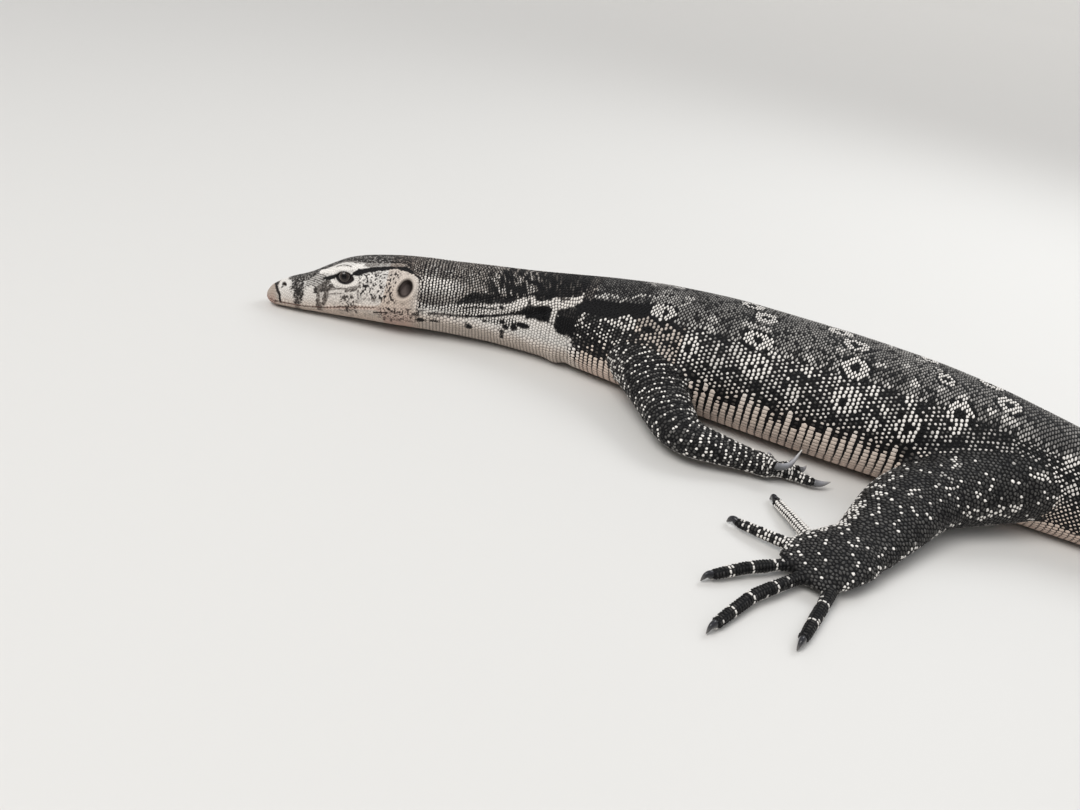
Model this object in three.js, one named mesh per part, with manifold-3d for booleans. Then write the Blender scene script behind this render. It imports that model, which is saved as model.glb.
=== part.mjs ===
// A water monitor lizard lying at rest: still, life size, flat on a floor.
// Millimetres, +Z up. The floor is z = 0, the head points to -X and the lizard's left side is -Y.
// The origin is on the floor under the middle of the trunk.
import * as THREE from 'three';
import { mergeVertices } from 'three/addons/utils/BufferGeometryUtils.js';
import Module from 'manifold-3d';

const wasm = await Module();
wasm.setup();

// Driving dimensions along the spine, measured from the tip of the snout
const HEAD_END = 105;
const NECK_END = 218;
const TRUNK_MIDDLE = 371;
const TRUNK_SPLIT = 405;
const TAIL_START = 545;
const TAIL_SPLITS = [700, 880, 1085];
const TOTAL_LENGTH = 1310;

const NODE_GAP = 0.3;
const BELLY_PRESS = 1.2;

// Where the spine heads in plan, in degrees from +X, at distances from the snout
const HEADINGS = [
  [0, 25], [105, 25], [135, 22], [170, 14], [205, 8], [240, 3], [300, 1], [380, 0],
  [440, -2], [500, -4], [560, -4], [640, 3], [740, 16], [860, 25], [980, 17],
  [1100, -3], [1200, -18], [1310, -26],
];

// How far the body is rolled, left side up, in degrees
const ROLLS = [[0, 11], [105, 11], [195, 0], [1310, 0]];

// Width, height and lift of the underside over the floor, at distances from the snout
const GIRTHS = [
  [0, 5, 7, 4.2], [3, 12, 12.5, 2.2], [8, 18.5, 17, 1.4], [16, 23, 21.5, 1.2], [28, 27, 26.5, 1],
  [41, 31.5, 34, 1], [53, 37, 40, 1.2], [64, 43, 43, 1.4], [80, 50.5, 45.5, 1.4], [94, 54.5, 47, 1.4],
  [107, 53, 48, 1.2], [125, 50, 49, 0.8], [150, 50, 51, 0.4], [178, 54, 54, 0], [205, 61, 58, 0],
  [235, 73, 63, 0], [270, 85, 68, 0], [320, 95, 71, 0], [375, 98, 71, 0], [425, 92, 70, 0],
  [465, 82, 67, 0], [500, 70, 62, 0], [530, 60, 57, 0], [570, 51, 52, 0], [620, 42, 47, 0],
  [690, 33, 40.5, 0], [780, 25.5, 34, 0], [900, 19, 27.5, 0], [1020, 14, 21, 0],
  [1140, 10, 15, 0], [1240, 7, 9.5, 0], [1310, 3, 3.6, 0],
];

// Roundness of the section above and below its widest line, and the height share of that line
const ROUNDNESS = [
  [0, 2.1, 2.1, 0.5], [20, 2.3, 2.3, 0.42], [50, 2.7, 2.4, 0.4], [85, 2.7, 2.4, 0.4],
  [125, 2.3, 2.3, 0.44], [215, 2.2, 2.4, 0.44], [300, 2.1, 2.6, 0.4], [460, 2.1, 2.6, 0.4],
  [570, 2.1, 2.4, 0.42], [700, 2, 2.2, 0.42], [1310, 2, 2.1, 0.45],
];

// Head details, as distance from the snout, offset to the side and height over the chin
const EYE = {
  s: 53.5, side: 12.4, z: 29, radius: 6.6, openLong: 6.1, openHigh: 4.3, lid: 1.4, lidLong: 1.8, lidHigh: 1.4,
};
const EAR = { s: 95, side: 26.2, z: 28.5, long: 4.8, high: 6.8, deep: 4.2 };
const NOSTRIL = { s: 12.5, side: 8.9, z: 15.6, long: 1.9, high: 1.4, deep: 2.4 };
const MOUTH_CORNER = 78;
const MOUTH_HEIGHTS = [[0, 3], [10, 3.7], [24, 4.2], [37, 5.5], [54, 9], [70, 12.2], [78, 13.5], [110, 14]];
const MOUTH = { depth: 0.9, fade: 6, lipWidth: 1.1, widestLip: 9, upperLip: 0.3, lowerLip: 0.2 };

// Brow, ridge before the eye, jaw muscle, fold along the neck and the furrow under it:
// how far each stands out, where it lies, its reach along, its angle from the side, its spread
const SWELLINGS = [
  [1.5, 50, 11, 52, 15], [0.8, 28, 10, 55, 14], [1.3, 82, 11, -8, 22],
  [1.3, 150, 45, -22, 9], [-1.2, 160, 42, -42, 10],
];
const SWELLINGS_END = 215;
const THROAT_FOLD = {
  from: 185, to: 245, ridge: [1.6, 205, 5.5], crease: [-1.2, 213, 4], angle: -25, soft: 7,
};
const KEEL = { start: 480, full: 680, share: 0.07, spread: 9 };

// Corners in a ring, and the distance from ring to ring
const RINGS = { trunk: 25, tail: 17, limb: 15, digit: 9, claw: 7 };
const STEPS = { head: 4.3, neck: 8.5, front: 13, rear: 12, tail: 16, clearance: 9 };
const LIMB_REACH = { from: 150, to: 640 };

const DEG = Math.PI / 180;
const UP = new THREE.Vector3(0, 0, 1);

// Smooth interpolation through rows of [position, value, value, ...]
function table(rows) {
  const slope = (column) => rows.map((row, i) => {
    if (i === 0 || i === rows.length - 1) return 0;
    const before = (row[column] - rows[i - 1][column]) / (row[0] - rows[i - 1][0]);
    const after = (rows[i + 1][column] - row[column]) / (rows[i + 1][0] - row[0]);
    return before * after <= 0 ? 0 : (2 * before * after) / (before + after);
  });
  const slopes = rows[0].map((_, column) => (column ? slope(column) : []));
  return (s) => {
    let i = 0;
    while (i < rows.length - 2 && s > rows[i + 1][0]) i += 1;
    const span = rows[i + 1][0] - rows[i][0];
    const t = Math.min(Math.max((s - rows[i][0]) / span, 0), 1);
    return rows[i].slice(1).map((value, k) => {
      const next = rows[i + 1][k + 1];
      const [m0, m1] = [slopes[k + 1][i] * span, slopes[k + 1][i + 1] * span];
      return value * (2 * t ** 3 - 3 * t ** 2 + 1) + next * (3 * t ** 2 - 2 * t ** 3)
        + m0 * (t ** 3 - 2 * t ** 2 + t) + m1 * (t ** 3 - t ** 2);
    });
  };
}

const headingAt = table(HEADINGS);
const rollAt = table(ROLLS);
const girthAt = table(GIRTHS);
const roundnessAt = table(ROUNDNESS);
const mouthAt = table(MOUTH_HEIGHTS);

// The spine's plan, one point a millimetre, summed from its headings
function layOutSpine() {
  const points = [[0, 0]];
  for (let s = 0; s < TOTAL_LENGTH; s += 1) {
    const heading = headingAt(s + 0.5)[0] * DEG;
    const [x, y] = points[s];
    points.push([x + Math.cos(heading), y + Math.sin(heading)]);
  }
  const [x0, y0] = points[TRUNK_MIDDLE];
  return points.map(([x, y]) => [x - x0, y - y0]);
}
const SPINE = layOutSpine();

function spineAt(s) {
  const i = Math.min(Math.floor(s), TOTAL_LENGTH - 1);
  const f = s - i;
  return [
    SPINE[i][0] * (1 - f) + SPINE[i + 1][0] * f,
    SPINE[i][1] * (1 - f) + SPINE[i + 1][1] * f,
  ];
}

// A point beside the spine: side is positive to the lizard's left, z is over the chin or belly
function bodyPoint(s, side, z) {
  const [, height, lift] = girthAt(s);
  const middle = height * roundnessAt(s)[2];
  const roll = rollAt(s)[0] * DEG;
  const heading = headingAt(s)[0] * DEG;
  const across = side * Math.cos(roll) - (z - middle) * Math.sin(roll);
  const level = side * Math.sin(roll) + (z - middle) * Math.cos(roll) + middle + lift;
  const [x, y] = spineAt(s);
  return new THREE.Vector3(
    x + across * Math.sin(heading),
    y - across * Math.cos(heading),
    Math.max(level - BELLY_PRESS, 0),
  );
}

function bump(value, centre, spread) {
  return Math.exp(-(((value - centre) / spread) ** 2));
}

// How far the skin stands out of the plain section, at an angle from the left side upwards
function relief(s, degrees) {
  const around = Math.abs(degrees) > 90 ? Math.sign(degrees) * 180 - degrees : degrees;
  let out = 0;
  if (s < SWELLINGS_END) {
    for (const [height, centre, reach, angle, spreadOf] of SWELLINGS) {
      out += height * bump(s, centre, reach) * bump(around, angle, spreadOf);
    }
  }
  if (s > THROAT_FOLD.from && s < THROAT_FOLD.to) {
    const throat = 1 / (1 + Math.exp((around - THROAT_FOLD.angle) / THROAT_FOLD.soft));
    for (const [height, centre, reach] of [THROAT_FOLD.ridge, THROAT_FOLD.crease]) {
      out += throat * height * bump(s, centre, reach);
    }
  }
  if (s > KEEL.start) {
    const grown = Math.min((s - KEEL.start) / (KEEL.full - KEEL.start), 1);
    out += grown * girthAt(s)[1] * KEEL.share * bump(around, 90, KEEL.spread);
  }
  return out;
}

// One closed ring of the body's section, square to the spine
function bodyRing(s, angles, grow = 0) {
  const [width, height] = girthAt(s);
  const [roundTop, roundBottom, share] = roundnessAt(s);
  const middle = height * share;
  return angles(s).map(({ degrees, inset }) => {
    const c = Math.cos(degrees * DEG);
    const sn = Math.sin(degrees * DEG);
    const power = 2 / (sn > 0 ? roundTop : roundBottom);
    const tall = sn > 0 ? height - middle : middle;
    const side = Math.sign(c) * (width / 2) * Math.abs(c) ** power;
    const z = middle + Math.sign(sn) * tall * Math.abs(sn) ** power;
    const out = relief(s, degrees) + grow - inset;
    return bodyPoint(s, side + out * c, z + out * sn);
  });
}

function evenAngles(count) {
  const list = Array.from({ length: count }, (_, i) => {
    const turn = 90 + (i * 360) / count;
    return { degrees: turn > 180 ? turn - 360 : turn, inset: 0 };
  });
  return () => list;
}

// Head sections have three corners on each side at the mouth, to hold its groove and both lips
function headAngles(s) {
  const [width, height] = girthAt(s);
  const [, roundBottom, share] = roundnessAt(s);
  const middle = height * share;
  const drop = Math.min(Math.max(1 - mouthAt(s)[0] / middle, 0.02), 0.98);
  const mouth = -Math.asin(drop ** (roundBottom / 2)) / DEG;
  const lip = Math.min(MOUTH.lipWidth / (width / 2) / DEG, MOUTH.widestLip);
  const open = 1 - THREE.MathUtils.smoothstep(s, MOUTH_CORNER - MOUTH.fade, MOUTH_CORNER);
  const left = [];
  for (let i = 0; i < 9; i += 1) {
    left.push({ degrees: 90 - ((90 - mouth - lip) * i) / 9, inset: 0 });
  }
  left.push({ degrees: mouth + lip, inset: -MOUTH.upperLip * open });
  left.push({ degrees: mouth, inset: MOUTH.depth * open });
  left.push({ degrees: mouth - lip, inset: -MOUTH.lowerLip * open });
  for (const share of [0.4, 0.78]) {
    left.push({ degrees: mouth - lip + (-90 - mouth + lip) * share, inset: 0 });
  }
  const right = left.slice(1).map(({ degrees, inset }) => {
    const turn = 180 - degrees;
    return { degrees: turn > 180 ? turn - 360 : turn, inset };
  });
  return [left[0], ...right, ...left.slice(1).reverse()];
}

// A closed skin over rings of equal count, capped by fans, with its faces pointing out
function loft(rings) {
  const count = rings[0].length;
  const corners = rings.flat();
  const middleOf = (ring) => ring
    .reduce((sum, p) => sum.add(p), new THREE.Vector3())
    .divideScalar(count);
  corners.push(middleOf(rings[0]), middleOf(rings[rings.length - 1]));
  const first = corners.length - 2;
  const last = corners.length - 1;
  const index = [];
  for (let r = 0; r < rings.length - 1; r += 1) {
    for (let i = 0; i < count; i += 1) {
      const j = (i + 1) % count;
      const [a, b] = [r * count + i, r * count + j];
      const [c, d] = [a + count, b + count];
      index.push(a, b, d, a, d, c);
    }
  }
  const end = (rings.length - 1) * count;
  for (let i = 0; i < count; i += 1) {
    const j = (i + 1) % count;
    index.push(first, j, i, last, end + i, end + j);
  }
  const geometry = new THREE.BufferGeometry().setFromPoints(corners);
  geometry.setIndex(index);
  return volumeOf(geometry) < 0 ? flipped(geometry) : geometry;
}

function volumeOf(geometry) {
  const at = geometry.getAttribute('position');
  const index = geometry.getIndex().array;
  const [a, b, c] = [new THREE.Vector3(), new THREE.Vector3(), new THREE.Vector3()];
  let volume = 0;
  for (let i = 0; i < index.length; i += 3) {
    a.fromBufferAttribute(at, index[i]);
    b.fromBufferAttribute(at, index[i + 1]);
    c.fromBufferAttribute(at, index[i + 2]);
    volume += a.dot(b.cross(c)) / 6;
  }
  return volume;
}

function flipped(geometry) {
  const index = Array.from(geometry.getIndex().array);
  for (let i = 0; i < index.length; i += 3) {
    [index[i + 1], index[i + 2]] = [index[i + 2], index[i + 1]];
  }
  geometry.setIndex(index);
  return geometry;
}

function toSolid(geometry) {
  const bare = geometry.clone();
  bare.deleteAttribute('normal');
  bare.deleteAttribute('uv');
  const merged = mergeVertices(bare, 1e-4);
  return new wasm.Manifold(new wasm.Mesh({
    numProp: 3,
    vertProperties: new Float32Array(merged.getAttribute('position').array),
    triVerts: new Uint32Array(merged.getIndex().array),
  }));
}

// The largest closed surface of a solid, back as a geometry
function toGeometry(solid) {
  const pieces = solid.decompose();
  const largest = pieces.reduce((best, piece) => (piece.volume() > best.volume() ? piece : best));
  const mesh = largest.getMesh();
  const geometry = new THREE.BufferGeometry();
  geometry.setAttribute('position', new THREE.BufferAttribute(mesh.vertProperties, 3));
  geometry.setIndex(Array.from(mesh.triVerts));
  return geometry;
}

// A length of the body from one distance to another, with rings about a step apart
function bodyLength(from, to, step, angles, grow = 0) {
  const count = Math.max(Math.round((to - from) / step), 2);
  const rings = [];
  for (let i = 0; i <= count; i += 1) {
    rings.push(bodyRing(from + ((to - from) * i) / count, angles, grow));
  }
  return loft(rings);
}

// A path through joints whose corners are rounded over a given length
function bentPath(joints, round) {
  const path = new THREE.CurvePath();
  let start = joints[0];
  for (let i = 1; i < joints.length - 1; i += 1) {
    const before = joints[i].clone().lerp(joints[i - 1], round / joints[i].distanceTo(joints[i - 1]));
    const after = joints[i].clone().lerp(joints[i + 1], round / joints[i].distanceTo(joints[i + 1]));
    path.add(new THREE.LineCurve3(start, before));
    path.add(new THREE.QuadraticBezierCurve3(before, joints[i], after));
    start = after;
  }
  path.add(new THREE.LineCurve3(start, joints[joints.length - 1]));
  return path;
}

// A ring across a path: width is level, height is square to both width and path
function limbRing(path, share, width, height, count) {
  const centre = path.getPointAt(share);
  const along = path.getTangentAt(share);
  const level = new THREE.Vector3().crossVectors(UP, along).normalize();
  const rise = new THREE.Vector3().crossVectors(along, level);
  return Array.from({ length: count }, (_, i) => {
    const turn = (90 + (i * 360) / count) * DEG;
    const p = centre.clone();
    p.addScaledVector(level, (width / 2) * Math.cos(turn));
    p.addScaledVector(rise, (height / 2) * Math.sin(turn));
    p.z = Math.max(p.z, 0);
    return p;
  });
}

// A length of a limb between two shares of its path, girths given as [share, width, height]
function limbLength(path, girths, from, to, steps, count, grow = 0) {
  const girth = table(girths);
  const rings = [];
  for (let i = 0; i <= steps; i += 1) {
    const share = from + ((to - from) * i) / steps;
    const [width, height] = girth(share);
    rings.push(limbRing(path, share, width + 2 * grow, height + 2 * grow, count));
  }
  return loft(rings);
}

const at = (x, y, z) => new THREE.Vector3(x, y, z);

// A digit through its root, knuckle and end, with a claw that bends once before its tip
function digit(root, knuckle, end, clawBend, clawTip) {
  return { joints: [at(...root), at(...knuckle), at(...end)], claw: [at(...clawBend), at(...clawTip)] };
}

// Limbs: joints on the floor frame, with the girths of each kind of limb
const FORE_GIRTHS = [
  [0, 48, 40], [0.2, 45, 36], [0.45, 36, 28], [0.62, 30, 23], [0.85, 21, 16], [1, 17, 13],
];
const HIND_GIRTHS = [
  [0, 54, 50], [0.25, 51, 45], [0.5, 46, 36], [0.72, 43, 29], [0.9, 37, 22], [1, 34, 19],
];

const LIMBS = [
  {
    name: 'fore_left',
    parts: ['upper_arm_left', 'forearm_left'],
    joints: [at(-118, -12, 31), at(-58, -85, 14), at(-12, -74, 8.5)],
    girths: FORE_GIRTHS,
    bend: 14,
  },
  {
    name: 'fore_right',
    parts: ['upper_arm_right', 'forearm_right'],
    joints: [at(-112, 12, 26), at(-97, 74, 13), at(-144, 90, 9)],
    girths: FORE_GIRTHS,
    bend: 16,
  },
  {
    name: 'hind_left',
    parts: ['thigh_left', 'shin_left'],
    joints: [at(140, -4, 31), at(70, -66, 17), at(50, -124, 10)],
    girths: HIND_GIRTHS,
    bend: 20,
  },
  {
    name: 'hind_right',
    parts: ['thigh_right', 'shin_right'],
    joints: [at(136, 2, 24), at(186, 68, 15), at(258, 66, 10)],
    girths: HIND_GIRTHS,
    bend: 20,
  },
];

// Claws: girths as shares of the width at the root, which is a share of the digit's tip
const CLAW_GIRTHS = [[0, 0.78, 1], [0.45, 0.55, 0.8], [0.8, 0.3, 0.46], [1, 0.14, 0.18]];
const CLAW_SHARE = 0.82;
const CLAW_STEPS = 6;
const CLAW_BEND = 0.85;
const DIGIT_BEND = 4;
const PALM_BEND = 6;
const TOE_PAD = 0.6;

// Hands and feet: a palm along its own joints, then digits as joints with root and tip girths
const HANDS = [
  {
    limb: 'fore_left',
    node: 'hand_left',
    claw: 'claw_fore_left',
    palm: {
      joints: [at(-14, -73.5, 8.6), at(-9, -73.5, 8.2), at(-4.5, -71.5, 7)],
      girths: [[0, 16, 13], [0.5, 17, 14], [1, 14, 11]],
    },
    digits: [
      digit([-12, -75, 11], [-8, -77.5, 13], [-3.4, -78.6, 12.8], [3.8, -76, 12.8], [7, -66, 21.5]),
      digit([-4, -71, 5.6], [8.2, -67, 5.2], [18.7, -66.6, 4.6], [23.2, -65, 4.2], [27.3, -60.5, 5.4]),
      digit([-4, -70, 6.6], [3, -65.5, 6.4], [9, -60, 5.4], [11.5, -56.5, 4.6], [12, -52.5, 6]),
      digit([-5, -68.5, 5.5], [0.5, -62, 5.2], [3, -56, 4.4], [3.6, -52.5, 4.4], [3.2, -49.5, 6]),
      digit([-10, -69, 6], [-8, -61.5, 5.4], [-8.5, -56, 4.4], [-9.6, -52.5, 4.4], [-11, -50.5, 6]),
    ],
    root: 8,
    tip: 5.8,
  },
  {
    limb: 'fore_right',
    node: 'hand_right',
    claw: 'claw_fore_right',
    palm: {
      joints: [at(-142, 89.5, 9), at(-154, 91.5, 8), at(-168, 92, 7)],
      girths: [[0, 16, 12], [0.5, 24, 13], [1, 24, 11]],
    },
    digits: spread(at(-163, 91.5, 6), 176, [
      [62, 9, 20], [30, 10, 27], [4, 11, 32], [-22, 11, 31], [-58, 10, 23],
    ], 12),
    root: 7.6,
    tip: 5.2,
  },
  {
    limb: 'hind_left',
    node: 'foot_left',
    claw: 'claw_hind_left',
    palm: {
      joints: [at(51, -121, 10), at(39, -140, 9), at(24, -158, 6)],
      girths: [[0, 33, 19], [0.3, 38, 18], [0.65, 40, 14], [1, 30, 9]],
    },
    digits: [
      digit([26.5, -127.6, 6.2], [12.5, -110.2, 5], [3.6, -98.8, 3.6], [1.8, -96.5, 4.8], [0.2, -94.5, 0.9]),
      digit([24.6, -139.9, 6.2], [2, -136.2, 5], [-9.9, -133, 3.6], [-12.7, -132.2, 4.8], [-15.2, -131.5, 0.9]),
      digit([24.7, -151.3, 6.2], [2.8, -169.8, 5], [-10.2, -183.3, 3.6], [-12.2, -185.4, 4.8], [-14, -187.3, 0.9]),
      digit([27.6, -160.9, 6.2], [9.8, -188.8, 5], [-0.3, -215.4, 3.6], [-1.4, -218.1, 4.8], [-2.3, -220.5, 0.9]),
      digit([44.5, -140.6, 6.2], [39.8, -175.8, 5], [35.5, -201.9, 3.6], [35, -204.7, 4.8], [34.6, -207.3, 0.9]),
    ],
    root: 7.8,
    tip: 5.6,
  },
  {
    limb: 'hind_right',
    node: 'foot_right',
    claw: 'claw_hind_right',
    palm: {
      joints: [at(255, 66, 10), at(278, 68, 8), at(299, 72, 5.4)],
      girths: [[0, 33, 19], [0.3, 35, 17], [0.65, 36, 13], [1, 30, 9]],
    },
    digits: spread(at(286, 70, 5.6), 14, [
      [-40, 12, 21], [-19, 14, 30], [-1, 15, 39], [17, 15, 46], [52, 8, 38],
    ], 10),
    root: 8.6,
    tip: 5.6,
  },
];

// Digits fanned from a palm: each is [angle from the heading, reach of its root, length];
// they arch a little on the way and the claws point down to the floor
function spread(centre, heading, fan, clawLength) {
  return fan.map(([angle, root, length]) => {
    const turn = (heading + angle) * DEG;
    const out = (reach, z) => at(centre.x + reach * Math.cos(turn), centre.y + reach * Math.sin(turn), z);
    const end = root + length;
    return {
      joints: [out(root - 6, 6.2), out(root + length * 0.5, 6.4), out(end, 4)],
      claw: [out(end + clawLength * 0.5, 4.6), out(end + clawLength, 1)],
    };
  });
}

// A digit thins from its root and swells a little before its tip
function digitLength({ joints }, root, tip) {
  const [half, pad] = [(root + tip) / 2, tip + TOE_PAD];
  const girths = [[0, root, root], [0.5, half, half], [0.8, pad, pad], [1, tip, tip]];
  return limbLength(bentPath(joints, DIGIT_BEND), girths, 0, 1, 7, RINGS.digit);
}

// A claw: a curved cone that starts just off the flat end of its digit
function clawLength({ joints, claw }, base) {
  const end = joints[joints.length - 1];
  const from = bentPath(joints, DIGIT_BEND).getTangentAt(1);
  const root = end.clone().addScaledVector(from, NODE_GAP);
  const shorter = Math.min(root.distanceTo(claw[0]), claw[0].distanceTo(claw[1]));
  const path = bentPath([root, ...claw], CLAW_BEND * shorter);
  const girth = table(CLAW_GIRTHS);
  const rings = [];
  for (let i = 0; i <= CLAW_STEPS; i += 1) {
    const [width, height] = girth(i / CLAW_STEPS);
    rings.push(limbRing(path, i / CLAW_STEPS, base * width, base * height, RINGS.claw));
  }
  const turned = new THREE.Vector3().crossVectors(UP, from).normalize();
  const rise = new THREE.Vector3().crossVectors(from, turned);
  const [[, width, height]] = CLAW_GIRTHS;
  rings[0] = rings[0].map((_, i) => {
    const turn = (90 + (i * 360) / RINGS.claw) * DEG;
    const p = root.clone();
    p.addScaledVector(turned, (base * width * Math.cos(turn)) / 2);
    p.addScaledVector(rise, (base * height * Math.sin(turn)) / 2);
    return p;
  });
  return loft(rings);
}

// A ball or egg beside the spine, turned to the head's heading and roll
function headBall(spot, sign, long, wide, high, facets = 16) {
  const ball = new THREE.SphereGeometry(1, facets, facets * 0.75);
  ball.scale(long, wide, high);
  const turn = new THREE.Matrix4().makeRotationZ(headingAt(spot.s)[0] * DEG);
  turn.multiply(new THREE.Matrix4().makeRotationX(-rollAt(spot.s)[0] * DEG));
  ball.applyMatrix4(turn);
  const centre = bodyPoint(spot.s, sign * spot.side, spot.z);
  ball.translate(centre.x, centre.y, centre.z);
  return ball;
}

function buildHead() {
  let head = toSolid(bodyLength(0, HEAD_END - NODE_GAP / 2, STEPS.head, headAngles));
  for (const sign of [1, -1]) {
    const r = EYE.radius;
    const lid = toSolid(headBall(EYE, sign, r + EYE.lidLong, r + EYE.lid, r + EYE.lidHigh));
    const socket = toSolid(headBall(EYE, sign, r + NODE_GAP, r + NODE_GAP, r + NODE_GAP));
    const gape = toSolid(headBall({ ...EYE, side: EYE.side + r }, sign, EYE.openLong, r, EYE.openHigh));
    head = head.add(lid).subtract(socket).subtract(gape);
    head = head.subtract(toSolid(headBall(EAR, sign, EAR.long, EAR.deep, EAR.high, 12)));
    const nostril = headBall(NOSTRIL, sign, NOSTRIL.long, NOSTRIL.deep, NOSTRIL.high, 8);
    head = head.subtract(toSolid(nostril));
  }
  return toGeometry(head);
}

const COLOURS = {
  scales: { color: 0x2b2a2c, roughness: 0.55, metalness: 0 },
  head: { color: 0xb9aaa4, roughness: 0.5, metalness: 0 },
  eye: { color: 0x2a221e, roughness: 0.1, metalness: 0 },
  claw: { color: 0x55555a, roughness: 0.35, metalness: 0 },
};

const group = new THREE.Group();

function place(name, geometry, colour) {
  const mesh = new THREE.Mesh(geometry, new THREE.MeshStandardMaterial(COLOURS[colour]));
  mesh.name = name;
  group.add(mesh);
}

function placeTrunk() {
  const around = evenAngles(RINGS.trunk);
  const half = NODE_GAP / 2;
  place('neck', bodyLength(HEAD_END + half, NECK_END - half, STEPS.neck, around), 'scales');
  place('torso_front', bodyLength(NECK_END + half, TRUNK_SPLIT - half, STEPS.front, around), 'scales');
  place('torso_rear', bodyLength(TRUNK_SPLIT + half, TAIL_START - half, STEPS.rear, around), 'scales');
}

function placeTail() {
  const around = evenAngles(RINGS.tail);
  const cuts = [TAIL_START, ...TAIL_SPLITS, TOTAL_LENGTH];
  for (let i = 0; i < cuts.length - 1; i += 1) {
    const to = cuts[i + 1] - (i < TAIL_SPLITS.length ? NODE_GAP / 2 : 0);
    place(`tail_${i + 1}`, bodyLength(cuts[i] + NODE_GAP / 2, to, STEPS.tail, around), 'scales');
  }
}

function placeHead() {
  place('head', buildHead(), 'head');
  const r = EYE.radius;
  place('eye_left', mergeVertices(bareBall(headBall(EYE, 1, r, r, r))), 'eye');
  place('eye_right', mergeVertices(bareBall(headBall(EYE, -1, r, r, r))), 'eye');
}

function bareBall(ball) {
  ball.deleteAttribute('normal');
  ball.deleteAttribute('uv');
  return ball;
}

// Limbs are cut clear of the trunk they grow from, and parted at elbow or knee
function placeLimbs() {
  const grow = NODE_GAP + 0.05;
  const { from, to } = LIMB_REACH;
  const trunk = toSolid(bodyLength(from, to, STEPS.clearance, evenAngles(RINGS.trunk), grow));
  const clearances = {};
  for (const { name, parts, joints, girths, bend } of LIMBS) {
    const path = bentPath(joints, bend);
    const gap = NODE_GAP / path.getLength();
    const upper = limbLength(path, girths, 0, 0.5 - gap / 2, 9, RINGS.limb);
    const lower = limbLength(path, girths, 0.5 + gap / 2, 1 - gap, 9, RINGS.limb);
    place(parts[0], toGeometry(toSolid(upper).subtract(trunk)), 'scales');
    place(parts[1], toGeometry(toSolid(lower).subtract(trunk)), 'scales');
    clearances[name] = toSolid(limbLength(path, girths, 0.5, 1, 9, RINGS.limb, grow));
  }
  return { trunk, clearances };
}

// Hands and feet are cut clear of the limb they end and of the trunk they lie beside
function placeHands({ trunk, clearances }) {
  for (const { limb, node, claw, palm, digits, root, tip } of HANDS) {
    const path = bentPath(palm.joints, PALM_BEND);
    let solid = toSolid(limbLength(path, palm.girths, 0, 1, 6, RINGS.limb));
    for (const each of digits) {
      solid = solid.add(toSolid(digitLength(each, root, tip)));
    }
    place(node, toGeometry(solid.subtract(clearances[limb]).subtract(trunk)), 'scales');
    digits.forEach((each, i) => {
      place(`${claw}_${i + 1}`, clawLength(each, tip * CLAW_SHARE), 'claw');
    });
  }
}

placeHead();
placeTrunk();
placeTail();
placeHands(placeLimbs());

export default group;
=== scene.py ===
"""A water monitor lizard lying flat on a pale floor: one skin, its scales, eyes and claws.

Lengths in this script are millimetres until the meshes are made. Distances along the spine, s,
start at the tip of the snout, and angles round the body start at the lizard's left side and
grow upwards, so that 90 is the middle of the back.
"""

import math

import bmesh
import bpy
import numpy as np
from mathutils import Matrix, Vector, kdtree
from mathutils.bvhtree import BVHTree


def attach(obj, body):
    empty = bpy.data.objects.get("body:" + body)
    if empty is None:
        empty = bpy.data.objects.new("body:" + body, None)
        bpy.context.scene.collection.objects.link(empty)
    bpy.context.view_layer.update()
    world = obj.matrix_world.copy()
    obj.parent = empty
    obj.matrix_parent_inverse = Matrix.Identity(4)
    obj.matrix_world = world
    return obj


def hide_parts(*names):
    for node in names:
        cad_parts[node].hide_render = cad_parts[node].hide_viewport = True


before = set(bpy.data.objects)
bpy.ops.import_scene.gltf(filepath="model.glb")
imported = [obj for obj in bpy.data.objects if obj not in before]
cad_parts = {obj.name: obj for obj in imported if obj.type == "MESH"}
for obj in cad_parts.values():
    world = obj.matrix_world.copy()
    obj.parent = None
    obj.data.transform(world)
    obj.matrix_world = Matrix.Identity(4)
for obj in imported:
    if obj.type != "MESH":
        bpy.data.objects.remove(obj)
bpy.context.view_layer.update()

MM = 0.001
SEED = 7

# Places along the spine. Openings end before OPENINGS_END, and the bar of pale plates on the
# flank is unbroken before BREAK_START
TOTAL_LENGTH = 1310
TRUNK_MIDDLE = 371
HEAD_END, NECK_END, TAIL_START = 105, 218, 545
OPENINGS_END, BREAK_START = 112, 262
# How far the belly sinks into the floor, and the skin lies under the solids and over the floor
BELLY_PRESS, COAT_DEPTH, FLOOR_GAP = 1.2, 0.45, 0.3
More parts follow.
